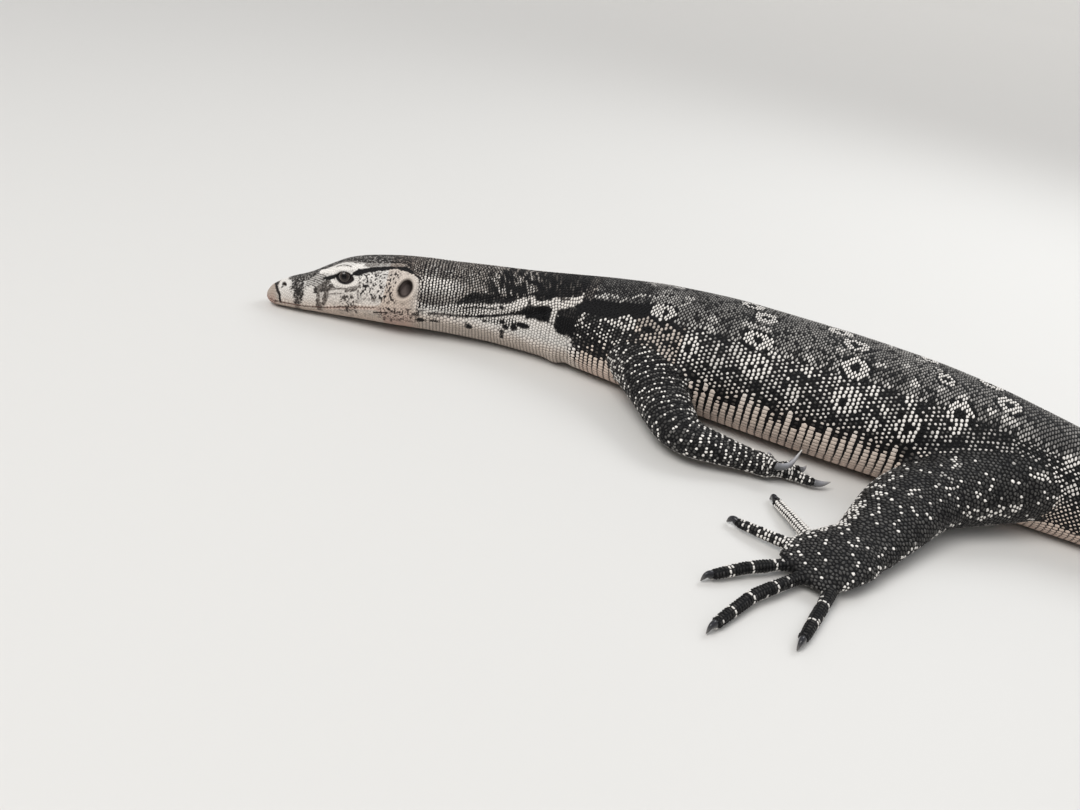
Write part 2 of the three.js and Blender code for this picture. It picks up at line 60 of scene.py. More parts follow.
# The body, as in the solids: distances from the snout with the values that hold there. Headings
# and rolls are degrees. Girths are width, height and lift. Roundness is a power for the upper
# and one for the lower half, and the share of the height at which the body is widest
HEADINGS = [
    (0, 25), (105, 25), (135, 22), (170, 14), (205, 8), (240, 3), (300, 1), (380, 0),
    (440, -2), (500, -4), (560, -4), (640, 3), (740, 16), (860, 25), (980, 17),
    (1100, -3), (1200, -18), (1310, -26),
]
ROLLS = [(0, 11), (105, 11), (195, 0), (1310, 0)]
GIRTHS = [
    (0, 5, 7, 4.2), (3, 12, 12.5, 2.2), (8, 18.5, 17, 1.4), (16, 23, 21.5, 1.2), (28, 27, 26.5, 1),
    (41, 31.5, 34, 1), (53, 37, 40, 1.2), (64, 43, 43, 1.4), (80, 50.5, 45.5, 1.4), (94, 54.5, 47, 1.4),
    (107, 53, 48, 1.2), (125, 50, 49, 0.8), (150, 50, 51, 0.4), (178, 54, 54, 0), (205, 61, 58, 0),
    (235, 73, 63, 0), (270, 85, 68, 0), (320, 95, 71, 0), (375, 98, 71, 0), (425, 92, 70, 0),
    (465, 82, 67, 0), (500, 70, 62, 0), (530, 60, 57, 0), (570, 51, 52, 0), (620, 42, 47, 0),
    (690, 33, 40.5, 0), (780, 25.5, 34, 0), (900, 19, 27.5, 0), (1020, 14, 21, 0),
    (1140, 10, 15, 0), (1240, 7, 9.5, 0), (1310, 3, 3.6, 0),
]
ROUNDNESS = [
    (0, 2.1, 2.1, 0.5), (20, 2.3, 2.3, 0.42), (50, 2.7, 2.4, 0.4), (85, 2.7, 2.4, 0.4),
    (125, 2.3, 2.3, 0.44), (215, 2.2, 2.4, 0.44), (300, 2.1, 2.6, 0.4), (460, 2.1, 2.6, 0.4),
    (570, 2.1, 2.4, 0.42), (700, 2, 2.2, 0.42), (1310, 2, 2.1, 0.45),
]
# Openings: place, half length and height, how round and how leaning their ends are, and depth
EYE = {"s": 54, "side": 11.3, "z": 29, "radius": 6.6, "long": 5.5, "high": 3.3, "round": 1.35}
EAR = {
    "s": 95, "side": 26.2, "z": 29.2, "long": 4.9, "high": 6.5, "round": 1.8, "lean": 0.22, "deep": 4.2,
}
NOSTRIL = {"s": 12.8, "side": 8.9, "z": 16.2, "long": 1.7, "high": 1.3, "round": 2, "deep": 2.4}
MOUTH_CORNER = 78
MOUTH_HEIGHTS = [(0, 3), (10, 3.7), (24, 4.2), (37, 5.5), (54, 9), (70, 12.2), (78, 13.5), (110, 14)]


def table(rows):
    """Smooth interpolation through rows of (position, value, value, ...)."""
    rows = np.array(rows, float)
    x, y = rows[:, 0], rows[:, 1:]
    step = np.diff(x)
    secant = np.diff(y, axis=0) / step[:, None]
    slope = np.zeros_like(y)
    before, after = secant[:-1], secant[1:]
    total = np.where(before * after > 0, before + after, 1)
    slope[1:-1] = np.where(before * after > 0, 2 * before * after / total, 0)

    def at(s):
        s = np.clip(np.asarray(s, float), x[0], x[-1])
        i = np.clip(np.searchsorted(x, s) - 1, 0, len(x) - 2)
        t = ((s - x[i]) / step[i])[..., None]
        m0, m1 = slope[i] * step[i][..., None], slope[i + 1] * step[i][..., None]
        value = y[i] * (2 * t**3 - 3 * t**2 + 1) + y[i + 1] * (3 * t**2 - 2 * t**3)
        return value + m0 * (t**3 - 2 * t**2 + t) + m1 * (t**3 - t**2)

    return at


def line(rows):
    """Straight interpolation through (position, value) pairs."""
    x, y = np.array(rows, float).T
    return lambda s: np.interp(s, x, y)


def smooth(low, high, x):
    """A smooth step from nothing at the low value to one at the high value."""
    t = np.clip((np.asarray(x, float) - low) / (high - low), 0, 1)
    return t * t * (3 - 2 * t)


def between(x, *edges):
    """One between the middle two of four edges, falling to nothing at the outer two."""
    return smooth(edges[0], edges[1], x) * (1 - smooth(edges[2], edges[3], x))


def bump(value, centre, spread):
    """One at the centre, falling off on both sides."""
    return np.exp(-(((value - centre) / spread) ** 2))


def angles(rows):
    """Smooth interpolation through (position, degrees) pairs, in radians."""
    at = table(rows)
    return lambda s: np.radians(at(s)[..., 0])


heading_at = angles(HEADINGS)
roll_at = angles(ROLLS)
girth_at = table(GIRTHS)
roundness_at = table(ROUNDNESS)
mouth_height_at = table(MOUTH_HEIGHTS)


def lay_out_spine():
    heading = heading_at(np.arange(TOTAL_LENGTH) + 0.5)
    steps = np.stack([np.cos(heading), np.sin(heading)], 1)
    points = np.vstack([[0, 0], np.cumsum(steps, axis=0)])
    return points - points[TRUNK_MIDDLE]


SPINE = lay_out_spine()


def spine_at(s):
    stations = np.arange(TOTAL_LENGTH + 1)
    return np.interp(s, stations, SPINE[:, 0]), np.interp(s, stations, SPINE[:, 1])


def section_at(s):
    """Girth and roundness of the body, and the height of its widest place over the chin or belly."""
    girth, shape = girth_at(s), roundness_at(s)
    return girth, shape, girth[..., 1] * shape[..., 2]


def body_point(s, side, z, floor=0.0):
    """A point beside the spine: side is positive to the lizard's left, z is over the chin or belly."""
    girth, _, middle = section_at(s)
    roll, heading = roll_at(s), heading_at(s)
    across = side * np.cos(roll) - (z - middle) * np.sin(roll)
    level = side * np.sin(roll) + (z - middle) * np.cos(roll) + middle + girth[..., 2]
    x, y = spine_at(s)
    height = np.maximum(level - BELLY_PRESS, floor)
    return np.stack([x + across * np.sin(heading), y - across * np.cos(heading), height], -1)


def mirrored(degrees):
    """The same place on the left side."""
    return np.where(np.abs(degrees) > 90, np.sign(degrees) * 180 - degrees, degrees)


# Brow, ridge before the eye, jaw muscle, fold along the neck and the furrow under it:
# how far each stands out, where it lies, its reach along, its angle, its spread
SWELLINGS = [
    (1.5, 50, 11, 52, 15), (0.8, 28, 10, 55, 14), (1.3, 82, 11, -8, 22),
    (1.3, 150, 45, -22, 9), (-1.2, 160, 42, -42, 10),
]


def relief(s, degrees):
    """How far the large forms stand out: swellings, the fold of the throat and the keel of the tail."""
    around = mirrored(degrees)
    out = np.zeros(np.broadcast(s, degrees).shape)
    for height, centre, reach, angle, spread in SWELLINGS:
        out = out + np.where(s < 215, height * bump(s, centre, reach) * bump(around, angle, spread), 0)
    throat = 1 / (1 + np.exp(np.clip((around + 25) / 7, -50, 50)))
    fold = throat * (1.6 * bump(s, 205, 5.5) - 1.2 * bump(s, 213, 4))
    out = out + np.where((s > 185) & (s < 245), fold, 0)
    grown = np.clip((s - 480) / 200, 0, 1)
    return out + grown * girth_at(s)[..., 1] * 0.07 * bump(around, 90, 9)


def body_surface(s, degrees, out=0.0, floor=0.0):
    s, degrees = np.broadcast_arrays(np.asarray(s, float), np.asarray(degrees, float))
    girth, shape, middle = section_at(s)
    c, sn = np.cos(np.radians(degrees)), np.sin(np.radians(degrees))
    power = 2 / np.where(sn > 0, shape[..., 0], shape[..., 1])
    tall = np.where(sn > 0, girth[..., 1] - middle, middle)
    side = np.sign(c) * girth[..., 0] / 2 * np.abs(c) ** power
    z = middle + np.sign(sn) * tall * np.abs(sn) ** power
    far = relief(s, degrees) + out
    return body_point(s, side + far * c, z + far * sn, floor)


def tree_of(points):
    tree = kdtree.KDTree(len(points))
    for i, p in enumerate(points):
        tree.insert(p, i)
    tree.balance()
    return tree


SPINE_TREE = tree_of(np.pad(SPINE, ((0, 0), (0, 1))))


def from_spine(points, s):
    """How far points lie ahead of the place s of the spine and to its side."""
    x, y = spine_at(s)
    heading = heading_at(s)
    dx, dy = points[:, 0] - x, points[:, 1] - y
    return dx * np.cos(heading) + dy * np.sin(heading), dx * np.sin(heading) - dy * np.cos(heading)


def locate(points):
    """Distance along the spine, offset to the side, height over the belly and angle of each point."""
    s = np.array([SPINE_TREE.find((p[0], p[1], 0))[1] for p in points], float)
    for _ in range(3):
        s = np.clip(s + from_spine(points, s)[0], 0, TOTAL_LENGTH)
    across = from_spine(points, s)[1]
    roll = roll_at(s)
    girth, shape, middle = section_at(s)
    rise = points[:, 2] + BELLY_PRESS - middle - girth[:, 2]
    side = across * np.cos(roll) + rise * np.sin(roll)
    z = rise * np.cos(roll) - across * np.sin(roll)
    tall = np.where(z > 0, girth[:, 1] - middle, middle)
    half = np.where(z > 0, shape[:, 0], shape[:, 1]) / 2
    level = np.sign(side) * (np.abs(side) / (girth[:, 0] / 2)) ** half
    upright = np.sign(z) * (np.abs(z) / tall) ** half
    return s, side, z + middle, np.degrees(np.arctan2(upright, level))


class Path:
    """A path through joints whose corners are rounded, measured along its length."""

    def __init__(self, joints, bend):
        joints = [np.array(j, float) for j in joints]
        points = []
        start = joints[0]
        for i in range(1, len(joints) - 1):
            before = joints[i] + self._towards(joints[i], joints[i - 1], bend)
            after = joints[i] + self._towards(joints[i], joints[i + 1], bend)
            t = np.linspace(0, 1, 24)[:, None]
            points += [start[None], (1 - t) ** 2 * before + 2 * t * (1 - t) * joints[i] + t**2 * after]
            start = after
        points = np.vstack([*points, joints[-1][None]])
        reach = np.concatenate([[0], np.cumsum(np.linalg.norm(np.diff(points, axis=0), axis=1))])
        self.length = reach[-1]
        self.reach, self.points = reach, points

    @staticmethod
    def _towards(a, b, distance):
        return (b - a) * distance / np.linalg.norm(b - a)

    def at(self, u):
        return np.stack([np.interp(u, self.reach, self.points[:, k]) for k in range(3)], -1)

    def frame(self, u):
        """Place, direction, level width and the direction square to both."""
        u = np.asarray(u, float)
        ahead = self.at(np.minimum(u + 0.5, self.length)) - self.at(np.maximum(u - 0.5, 0))
        along = ahead / np.linalg.norm(ahead, axis=-1, keepdims=True)
        level = np.cross([0, 0, 1.0], along)
        level /= np.linalg.norm(level, axis=-1, keepdims=True)
        return self.at(u), along, level, np.cross(along, level)


class Tube:
    """A limb, palm or digit: a path with its widths and heights at shares of its length."""

    def __init__(self, name, path, girths, rows, floor=FLOOR_GAP):
        self.name, self.path, self.rows, self.floor = name, path, rows, floor
        self.girth = table(girths)

    def surface(self, u, degrees, out=0.0):
        u, degrees = np.broadcast_arrays(np.asarray(u, float), np.asarray(degrees, float))
        centre, _, level, rise = self.path.frame(u)
        girth = self.girth(u / self.path.length)
        turn = np.radians(degrees)[..., None]
        width = (girth[..., 0:1] / 2 + out) * np.cos(turn)
        height = (girth[..., 1:2] / 2 + out) * np.sin(turn)
        points = centre + level * width + rise * height
        points[..., 2] = np.maximum(points[..., 2], self.floor)
        return points


# Limbs and digits, as in the solids
FORE_GIRTHS = [(0, 48, 40), (0.2, 45, 36), (0.45, 36, 28), (0.62, 30, 23), (0.85, 21, 16), (1, 17, 13)]
HIND_GIRTHS = [(0, 54, 50), (0.25, 51, 45), (0.5, 46, 36), (0.72, 43, 29), (0.9, 37, 22), (1, 34, 19)]
LIMBS = {
    "fore_left": ([(-118, -12, 31), (-58, -85, 14), (-12, -74, 8.5)], 14, FORE_GIRTHS),
    "fore_right": ([(-112, 12, 26), (-97, 74, 13), (-144, 90, 9)], 16, FORE_GIRTHS),
    "hind_left": ([(140, -4, 31), (70, -66, 17), (50, -124, 10)], 20, HIND_GIRTHS),
    "hind_right": ([(136, 2, 24), (186, 68, 15), (258, 66, 10)], 20, HIND_GIRTHS),
}
# How far from a corner it is rounded, for claws as a share of their shorter half
DIGIT_BEND, PALM_BEND, CLAW_BEND = 4, 6, 0.85
# How much thicker a toe pad is than the tip, and a claw's root as a share of the tip
TOE_PAD, CLAW_SHARE = 0.6, 0.82


def spread(x0, y0, heading, fan, claw):
    """Digits fanned from a palm: each is (angle from the heading, reach of its root, length)."""
    digits = []
    for angle, root, length in fan:
        turn = math.radians(heading + angle)
        end = root + length
        reaches = (root - 6, root + length / 2, end, end + claw / 2, end + claw)
        digits.append([
            (x0 + reach * math.cos(turn), y0 + reach * math.sin(turn), z)
            for reach, z in zip(reaches, (6.2, 6.4, 4, 4.6, 1))
        ])
    return digits


def laid_flat(*joints):
    """A digit of the left foot, from the places of its joints on the floor."""
    return [(x, y, z) for (x, y), z in zip(joints, (6.2, 5, 3.6, 4.8, 0.9))]


# Each hand or foot: palm joints and girths, digits as root, knuckle, end, claw bend and claw tip,
# and the thickness of digits at their roots and tips
HANDS = {
    "fore_left": {
        "palm": [(-14, -73.5, 8.6), (-9, -73.5, 8.2), (-4.5, -71.5, 7)],
        "girths": [(0, 16, 13), (0.5, 17, 14), (1, 14, 11)],
        "digits": [
            [(-12, -75, 11), (-8, -77.5, 13), (-3.4, -78.6, 12.8), (3.8, -76, 12.8), (7, -66, 21.5)],
            [(-4, -71, 5.6), (8.2, -67, 5.2), (18.7, -66.6, 4.6), (23.2, -65, 4.2), (27.3, -60.5, 5.4)],
            [(-4, -70, 6.6), (3, -65.5, 6.4), (9, -60, 5.4), (11.5, -56.5, 4.6), (12, -52.5, 6)],
            [(-5, -68.5, 5.5), (0.5, -62, 5.2), (3, -56, 4.4), (3.6, -52.5, 4.4), (3.2, -49.5, 6)],
            [(-10, -69, 6), (-8, -61.5, 5.4), (-8.5, -56, 4.4), (-9.6, -52.5, 4.4), (-11, -50.5, 6)],
        ],
        "root": 8, "tip": 5.8,
    },
    "fore_right": {
        "palm": [(-142, 89.5, 9), (-154, 91.5, 8), (-168, 92, 7)],
        "girths": [(0, 16, 12), (0.5, 24, 13), (1, 24, 11)],
        "digits": spread(-163, 91.5, 176, [
            (62, 9, 20), (30, 10, 27), (4, 11, 32), (-22, 11, 31), (-58, 10, 23)], 12),
        "root": 7.6, "tip": 5.2,
    },
    "hind_left": {
        "palm": [(51, -121, 10), (39, -140, 9), (24, -158, 6)],
        "girths": [(0, 33, 19), (0.3, 38, 18), (0.65, 40, 14), (1, 30, 9)],
        "digits": [
            laid_flat((26.5, -127.6), (12.5, -110.2), (3.6, -98.8), (1.8, -96.5), (0.2, -94.5)),
            laid_flat((24.6, -139.9), (2, -136.2), (-9.9, -133), (-12.7, -132.2), (-15.2, -131.5)),
            laid_flat((24.7, -151.3), (2.8, -169.8), (-10.2, -183.3), (-12.2, -185.4), (-14, -187.3)),
            laid_flat((27.6, -160.9), (9.8, -188.8), (-0.3, -215.4), (-1.4, -218.1), (-2.3, -220.5)),
            laid_flat((44.5, -140.6), (39.8, -175.8), (35.5, -201.9), (35, -204.7), (34.6, -207.3)),
        ],
        "root": 7.8, "tip": 5.6,
    },
    "hind_right": {
        "palm": [(255, 66, 10), (278, 68, 8), (299, 72, 5.4)],
        "girths": [(0, 33, 19), (0.3, 35, 17), (0.65, 36, 13), (1, 30, 9)],
        "digits": spread(286, 70, 14, [
            (-40, 12, 21), (-19, 14, 30), (-1, 15, 39), (17, 15, 46), (52, 8, 38)], 10),
        "root": 8.6, "tip": 5.6,
    },
}

# Scale rows: the step from row to row and the spacing in a row
LIMB_ROWS = {"fore": (1.85, 2.2), "hind": (2, 2.5)}
PALM_ROWS = (1.8, 2.3)
DIGIT_ROWS = (1.8, 2.9)


def make_tubes():
    tubes = []
    for name, (joints, bend, girths) in LIMBS.items():
        kind = name.split("_")[0]
        tubes.append(Tube(f"limb_{name}", Path(joints, bend), girths, LIMB_ROWS[kind]))
    for name, hand in HANDS.items():
        tubes.append(Tube(f"palm_{name}", Path(hand["palm"], PALM_BEND), hand["girths"], PALM_ROWS))
        root, tip = hand["root"], hand["tip"]
        half, pad = (root + tip) / 2, tip + TOE_PAD
        girths = [(0, root, root), (0.5, half, half), (0.8, pad, pad), (1, tip, tip)]
        for i, joints in enumerate(hand["digits"]):
            tubes.append(Tube(f"digit_{name}_{i + 1}", Path(joints[:3], DIGIT_BEND), girths, DIGIT_ROWS))
    return tubes


TUBES = make_tubes()


def loft(rings):
    """Vertices and faces of a closed skin over rings of equal count, capped at both ends."""
    count, around = rings.shape[0], rings.shape[1]
    points = np.vstack([rings.reshape(-1, 3), rings[0].mean(0), rings[-1].mean(0)])
    i = np.arange(around)
    j = (i + 1) % around
    faces = []
    for r in range(count - 1):
        a, b = r * around + i, r * around + j
        faces += np.stack([a, b, b + around, a + around], 1).tolist()
    first, last = len(points) - 2, len(points) - 1
    end = (count - 1) * around
    faces += [(first, int(b), int(a)) for a, b in zip(i, j)]
    faces += [(last, int(end + a), int(end + b)) for a, b in zip(i, j)]
    return points, faces


def body_rings():
    s = np.concatenate([[0.05, 0.5, 1, 2], np.arange(3, TOTAL_LENGTH + 0.1, 2)])
    degrees = np.arange(96) * 360 / 96 - 180
    return body_surface(s[:, None], degrees[None], -COAT_DEPTH, FLOOR_GAP)


def tube_rings(tube, ahead=0.0):
    """Rings along a tube, closed by a round end that reaches a little past it."""
    u = np.linspace(0, tube.path.length, max(int(tube.path.length / 1.5), 6))
    degrees = np.arange(40) * 9.0
    rings = tube.surface(u[:, None], degrees[None], -COAT_DEPTH)
    _, along, _, _ = tube.path.frame(tube.path.length)
    last, centre = rings[-1], rings[-1].mean(0)
    for share in (0.35, 0.7, 0.92):
        shrink = math.sqrt(1 - share**2)
        ring = centre + (last - centre) * shrink + along * share * ahead
        rings = np.concatenate([rings, ring[None]])
    return rings


def add_object(name, data):
    obj = bpy.data.objects.new(name, data)
    bpy.context.scene.collection.objects.link(obj)
    return obj


def mesh_object(name, points, faces):
    mesh = bpy.data.meshes.new(name)
    mesh.from_pydata((points * MM).tolist(), [], faces)
    mesh.update()
    return add_object(name, mesh)


def face_outwards(mesh):
    bm = bmesh.new()
    bm.from_mesh(mesh)
    bmesh.ops.recalc_face_normals(bm, faces=bm.faces)
    bm.to_mesh(mesh)
    bm.free()


def smooth_faces(mesh):
    mesh.polygons.foreach_set("use_smooth", np.ones(len(mesh.polygons), bool))


def read_vertices(mesh, what):
    values = np.empty(len(mesh.vertices) * 3)
    mesh.vertices.foreach_get(what, values)
    return values.reshape(-1, 3)


def points_of(mesh):
    return read_vertices(mesh, "co") / MM


def set_points(mesh, points):
    mesh.vertices.foreach_set("co", (points * MM).ravel())
    mesh.update()


def relax(mesh, points, rounds, weight):
    """Moves each vertex towards the middle of its neighbours, by its weight, in several rounds."""
    edges = np.empty(len(mesh.edges) * 2, np.int64)
    mesh.edges.foreach_get("vertices", edges)
    a, b = edges.reshape(-1, 2).T
    count = np.bincount(a, minlength=len(points)) + np.bincount(b, minlength=len(points))
    for _ in range(rounds):
        middle = np.empty_like(points)
        for k in range(3):
            total = np.bincount(a, points[b, k], len(points)) + np.bincount(b, points[a, k], len(points))
            middle[:, k] = total / np.maximum(count, 1)
        points = points + (middle - points) * weight[:, None]
    return points


# The size of the even skin's faces, and how many rounds smooth it all and soften its junctions
VOXEL = 1.6
SMOOTH_ROUNDS, SOFT_ROUNDS = 3, 26
# Where the limbs leave the trunk, and how far the skin is softened there
JUNCTIONS = [(-88, -46, 22, 34), (-105, 46, 20, 34), (104, -36, 24, 42), (160, 38, 20, 42)]


def junction_weight(points):
    """One where limbs leave the trunk, less at wrists and palms, nothing elsewhere."""
    weight = np.zeros(len(points))
    for *place, reach in JUNCTIONS:
        far = np.linalg.norm(points - place, axis=1)
        weight = np.maximum(weight, 1 - smooth(reach * 0.5, reach * 1.2, far))
    for hand in HANDS.values():
        for place in (hand["palm"][0], hand["palm"][2]):
            far = np.linalg.norm(points - place, axis=1)
            weight = np.maximum(weight, 0.3 * (1 - smooth(10, 24, far)))
    return weight


def restore_digits(points):
    """Puts the skin of the free part of each digit back on its round surface, with its pad."""
    for number, tube in enumerate(TUBES, 1):
        if not tube.name.startswith("digit"):
            continue
        middle = tube.path.at(tube.path.length / 2)
        near = np.nonzero(np.linalg.norm(points - middle, axis=1) < tube.path.length / 2 + 5)[0]
        u, degrees = coordinates(number, points[near])
        wanted = tube.surface(u, degrees, -COAT_DEPTH)
        off = np.linalg.norm(wanted - points[near], axis=1)
        inside = (u > 1) & (u < tube.path.length - 0.3) & (off < 1.7)
        free = smooth(tube.path.length * 0.25, tube.path.length * 0.45, u)
        points[near] += (wanted - points[near]) * (free * inside)[:, None]
    return points


def build_rough_skin():
    """All lengths of body, limb and digit as one even skin."""
    parts = [loft(body_rings())]
    for tube in TUBES:
        parts.append(loft(tube_rings(tube, 1.2 if tube.name.startswith("digit") else 0.5)))
    points, faces, base = [], [], 0
    for part_points, part_faces in parts:
        points.append(part_points)
        faces += [[v + base for v in face] for face in part_faces]
        base += len(part_points)
    obj = mesh_object("skin", np.vstack(points), faces)
    face_outwards(obj.data)
    remesh = obj.modifiers.new("even", "REMESH")
    remesh.mode = "VOXEL"
    remesh.voxel_size = VOXEL * MM
    baked = bpy.data.meshes.new_from_object(obj.evaluated_get(bpy.context.evaluated_depsgraph_get()))
    obj.modifiers.clear()
    obj.data = baked
    points = points_of(baked)
    for _ in range(SMOOTH_ROUNDS):
        points = relax(baked, points, 1, np.full(len(points), 0.5))
        points = relax(baked, points, 1, np.full(len(points), -0.52))
    points = relax(baked, points, SOFT_ROUNDS, junction_weight(points) * 0.6)
    points = restore_digits(points)
    points[:, 2] = np.maximum(points[:, 2], FLOOR_GAP)
    set_points(baked, points)
    return obj


# How far along the spine the skin of head and neck is finer, and how far from an elbow it isn't
HEAD_FINE, NECK_FINE, ELBOW_CLEAR = 113, 222, 45


def refine(obj, reach):
    """Splits the faces up to a distance along the spine, but not those near an elbow."""
    bm = bmesh.new()
    bm.from_mesh(obj.data)
    points = np.array([v.co for v in bm.verts]) / MM
    near = np.nonzero(points[:, 0] < SPINE[int(reach) + 12, 0])[0]
    s = np.full(len(points), 1e6)
    s[near] = locate(points[near])[0]
    far = np.full(len(points), False)
    for tube in TUBES:
        if tube.name.startswith("limb_fore"):
            elbow = tube.path.points[len(tube.path.points) // 2]
            far |= np.linalg.norm(points - elbow, axis=1) < ELBOW_CLEAR
    inside = (s < reach) & ~far
    bm.verts.ensure_lookup_table()
    edges = [e for e in bm.edges if inside[e.verts[0].index] and inside[e.verts[1].index]]
    bmesh.ops.subdivide_edges(bm, edges=edges, cuts=1, use_grid_fill=True)
    bm.to_mesh(obj.data)
    bm.free()


def mouth_angle(s):
    """The angle of the mouth line, on the left side."""
    _, shape, middle = section_at(s)
    drop = np.clip(1 - mouth_height_at(s)[..., 0] / middle, 0.02, 0.98)
    return -np.degrees(np.arcsin(drop ** (shape[..., 1] / 2)))


def millimetres_per_degree(s, degrees):
    a = body_surface(s, degrees - 0.5)
    b = body_surface(s, degrees + 0.5)
    return np.maximum(np.linalg.norm(b - a, axis=-1), 1e-3)


def opening_distance(s, z, spot):
    """Rough distance in millimetres from an opening's edge, negative inside it."""
    up = z - spot["z"]
    u, v = (s - spot["s"] - up * spot.get("lean", 0)) / spot["long"], np.abs(up) / spot["high"]
    power = spot["round"]
    slope = np.hypot(2 * u / spot["long"], power * np.maximum(v, 0.05) ** (power - 1) / spot["high"])
    return (u**2 + v**power - 1) / np.maximum(slope, 1e-3)


def head_relief(s, z, degrees):
    """Fine forms of the head, out of its plain surface: lips, mouth line, ears and nostrils."""
    around = mirrored(degrees)
    off_line = (around - mouth_angle(s)) * millimetres_per_degree(s, around)
    open_share = 1 - smooth(MOUTH_CORNER - 5, MOUTH_CORNER + 1, s)
    out = open_share * (0.45 * bump(off_line, 1.5, 1.1) + 0.3 * bump(off_line, -1.3, 1.0))
    out = out - open_share * 1.15 * bump(off_line, 0, 0.5)
    out = out - 0.5 * (bump(s, MOUTH_CORNER + 3, 4) * bump(off_line, 0, 2.5))
    ear = opening_distance(s, z, EAR)
    out = out + 0.8 * bump(ear, 1.3, 1.3) - EAR["deep"] * (1 - smooth(-2.6, 0.4, ear))
    nostril = opening_distance(s, z, NOSTRIL)
    facing = between(around, 8, 24, 62, 80)
    out = out + facing * (0.3 * bump(nostril, 0.9, 0.8) - NOSTRIL["deep"] * (1 - smooth(-0.9, 0.3, nostril)))
    return out


# Folds of the neck and shoulder: start, end (each as s, angle), half width in mm, height
FOLDS = [
    ((112, -2), (150, 11), 3.2, 0.9), ((150, 11), (205, 40), 3.2, 1.1), ((196, 34), (199, -8), 2.4, 0.9),
    ((118, -22), (165, -12), 3, 0.8), ((108, 20), (104, -18), 2.2, 0.7), ((212, 8), (224, -28), 3, 0.7),
    ((172, -6), (196, -24), 2.6, 0.6),
]


def from_segment(s, around, scale, start, end):
    """Distance in millimetres from a line on the skin, and how far along the line its nearest point is."""
    (s0, d0), (s1, d1) = start, end
    ds, dd = s1 - s0, (d1 - d0) * scale
    t = ((s - s0) * ds + (around - d0) * scale * dd) / np.maximum(ds**2 + dd**2, 1e-6)
    t = np.clip(t, 0, 1)
    return np.hypot(s - s0 - t * ds, (around - d0) * scale - t * dd), t


def fold_relief(s, degrees):
    around = mirrored(degrees)
    scale = millimetres_per_degree(s, around)
    out = np.zeros_like(s)
    for start, end, half, height in FOLDS:
        off, t = from_segment(s, around, scale, start, end)
        ends = between(t, 0, 0.2, 0.8, 1)
        out = out + height * ends * (bump(off, 0, half * 0.75) - 0.5 * bump(off, half * 1.7, half * 0.6))
    return out


# Thickness of the lids over the eye, depth of the skin behind its opening, rounding of the lids'
# edge and width over which they blend with the head
LID = {"thick": 1.15, "behind": 0.7, "edge": 0.3, "blend": 2.4}


def eye_point(sign, s=0.0, side=0.0, z=0.0):
    """The middle of an eye, or a place beside it."""
    return body_point(np.array([EYE["s"] + s]), sign * (EYE["side"] + side), EYE["z"] + z)[0]


def fit_lids(points, s, side, z):
    """Lids lie on the ball of the eye round its opening, and the skin passes behind it there."""
    for sign in (1, -1):
        centre = eye_point(sign)
        offset = points - centre
        ball = np.linalg.norm(offset, axis=1)
        near = (ball < EYE["radius"] + 7) & (np.sign(side) == sign)
        away = offset[near] / ball[near][:, None]
        radius = ball[near]
        lid = EYE["radius"] + LID["thick"]
        soft = np.maximum(radius, lid)
        gap = np.abs(radius - lid)
        soft = soft + 0.25 * np.maximum(LID["blend"] - gap, 0) ** 2 / LID["blend"]
        edge = opening_distance(s[near], z[near], EYE)
        crease = 0.5 * bump(edge, 2.6, 0.55) * smooth(-2, 2, z[near] - EYE["z"])
        rounded = LID["edge"] * (1 - smooth(0, 1.1, edge))
        inside = 1 - smooth(-0.45, 0.05, edge)
        target = (soft - crease - rounded) * (1 - inside) + (EYE["radius"] - LID["behind"]) * inside
        fade = 1 - smooth(EYE["radius"] + 4, EYE["radius"] + 6.5, radius)
        final = radius + (target - radius) * np.where(edge < 0.3, 1, fade)
        points[near] = centre + away * final[:, None]
    return points


def shape_head_and_neck(obj):
    """Puts the fine skin back on the plain surface, with the forms that are smaller than a voxel."""
    mesh = obj.data
    points = points_of(mesh)
    ahead = np.nonzero(points[:, 0] < SPINE[NECK_FINE + 25, 0])[0]
    s, side, z, degrees = locate(points[ahead])
    head = s < HEAD_FINE + 4
    index = ahead[head]
    hs, hside, hz, hdegrees = s[head], side[head], z[head], degrees[head]
    out = head_relief(hs, hz, hdegrees) - COAT_DEPTH
    plain = body_surface(hs, hdegrees, out, FLOOR_GAP)
    near_eye = fit_lids(plain.copy(), hs, hside, hz)
    share = between(hs, 1.2, 4, HEAD_FINE - 6, HEAD_FINE)
    points[index] += (near_eye - points[index]) * share[:, None]
    normals = read_vertices(mesh, "normal")[ahead]
    fold = fold_relief(s, degrees) * between(s, 96, 108, NECK_FINE, NECK_FINE + 10)
    trunk_side = np.abs(side) < girth_at(s)[:, 0] / 2 + 4
    points[ahead] += normals * (fold * trunk_side)[:, None]
    points[:, 2] = np.maximum(points[:, 2], FLOOR_GAP)
    set_points(mesh, points)


CAMERA = {"place": (12.88, -517.82, 246), "turn": 20, "tilt": 28, "roll": 10.5, "lens": 28.667}


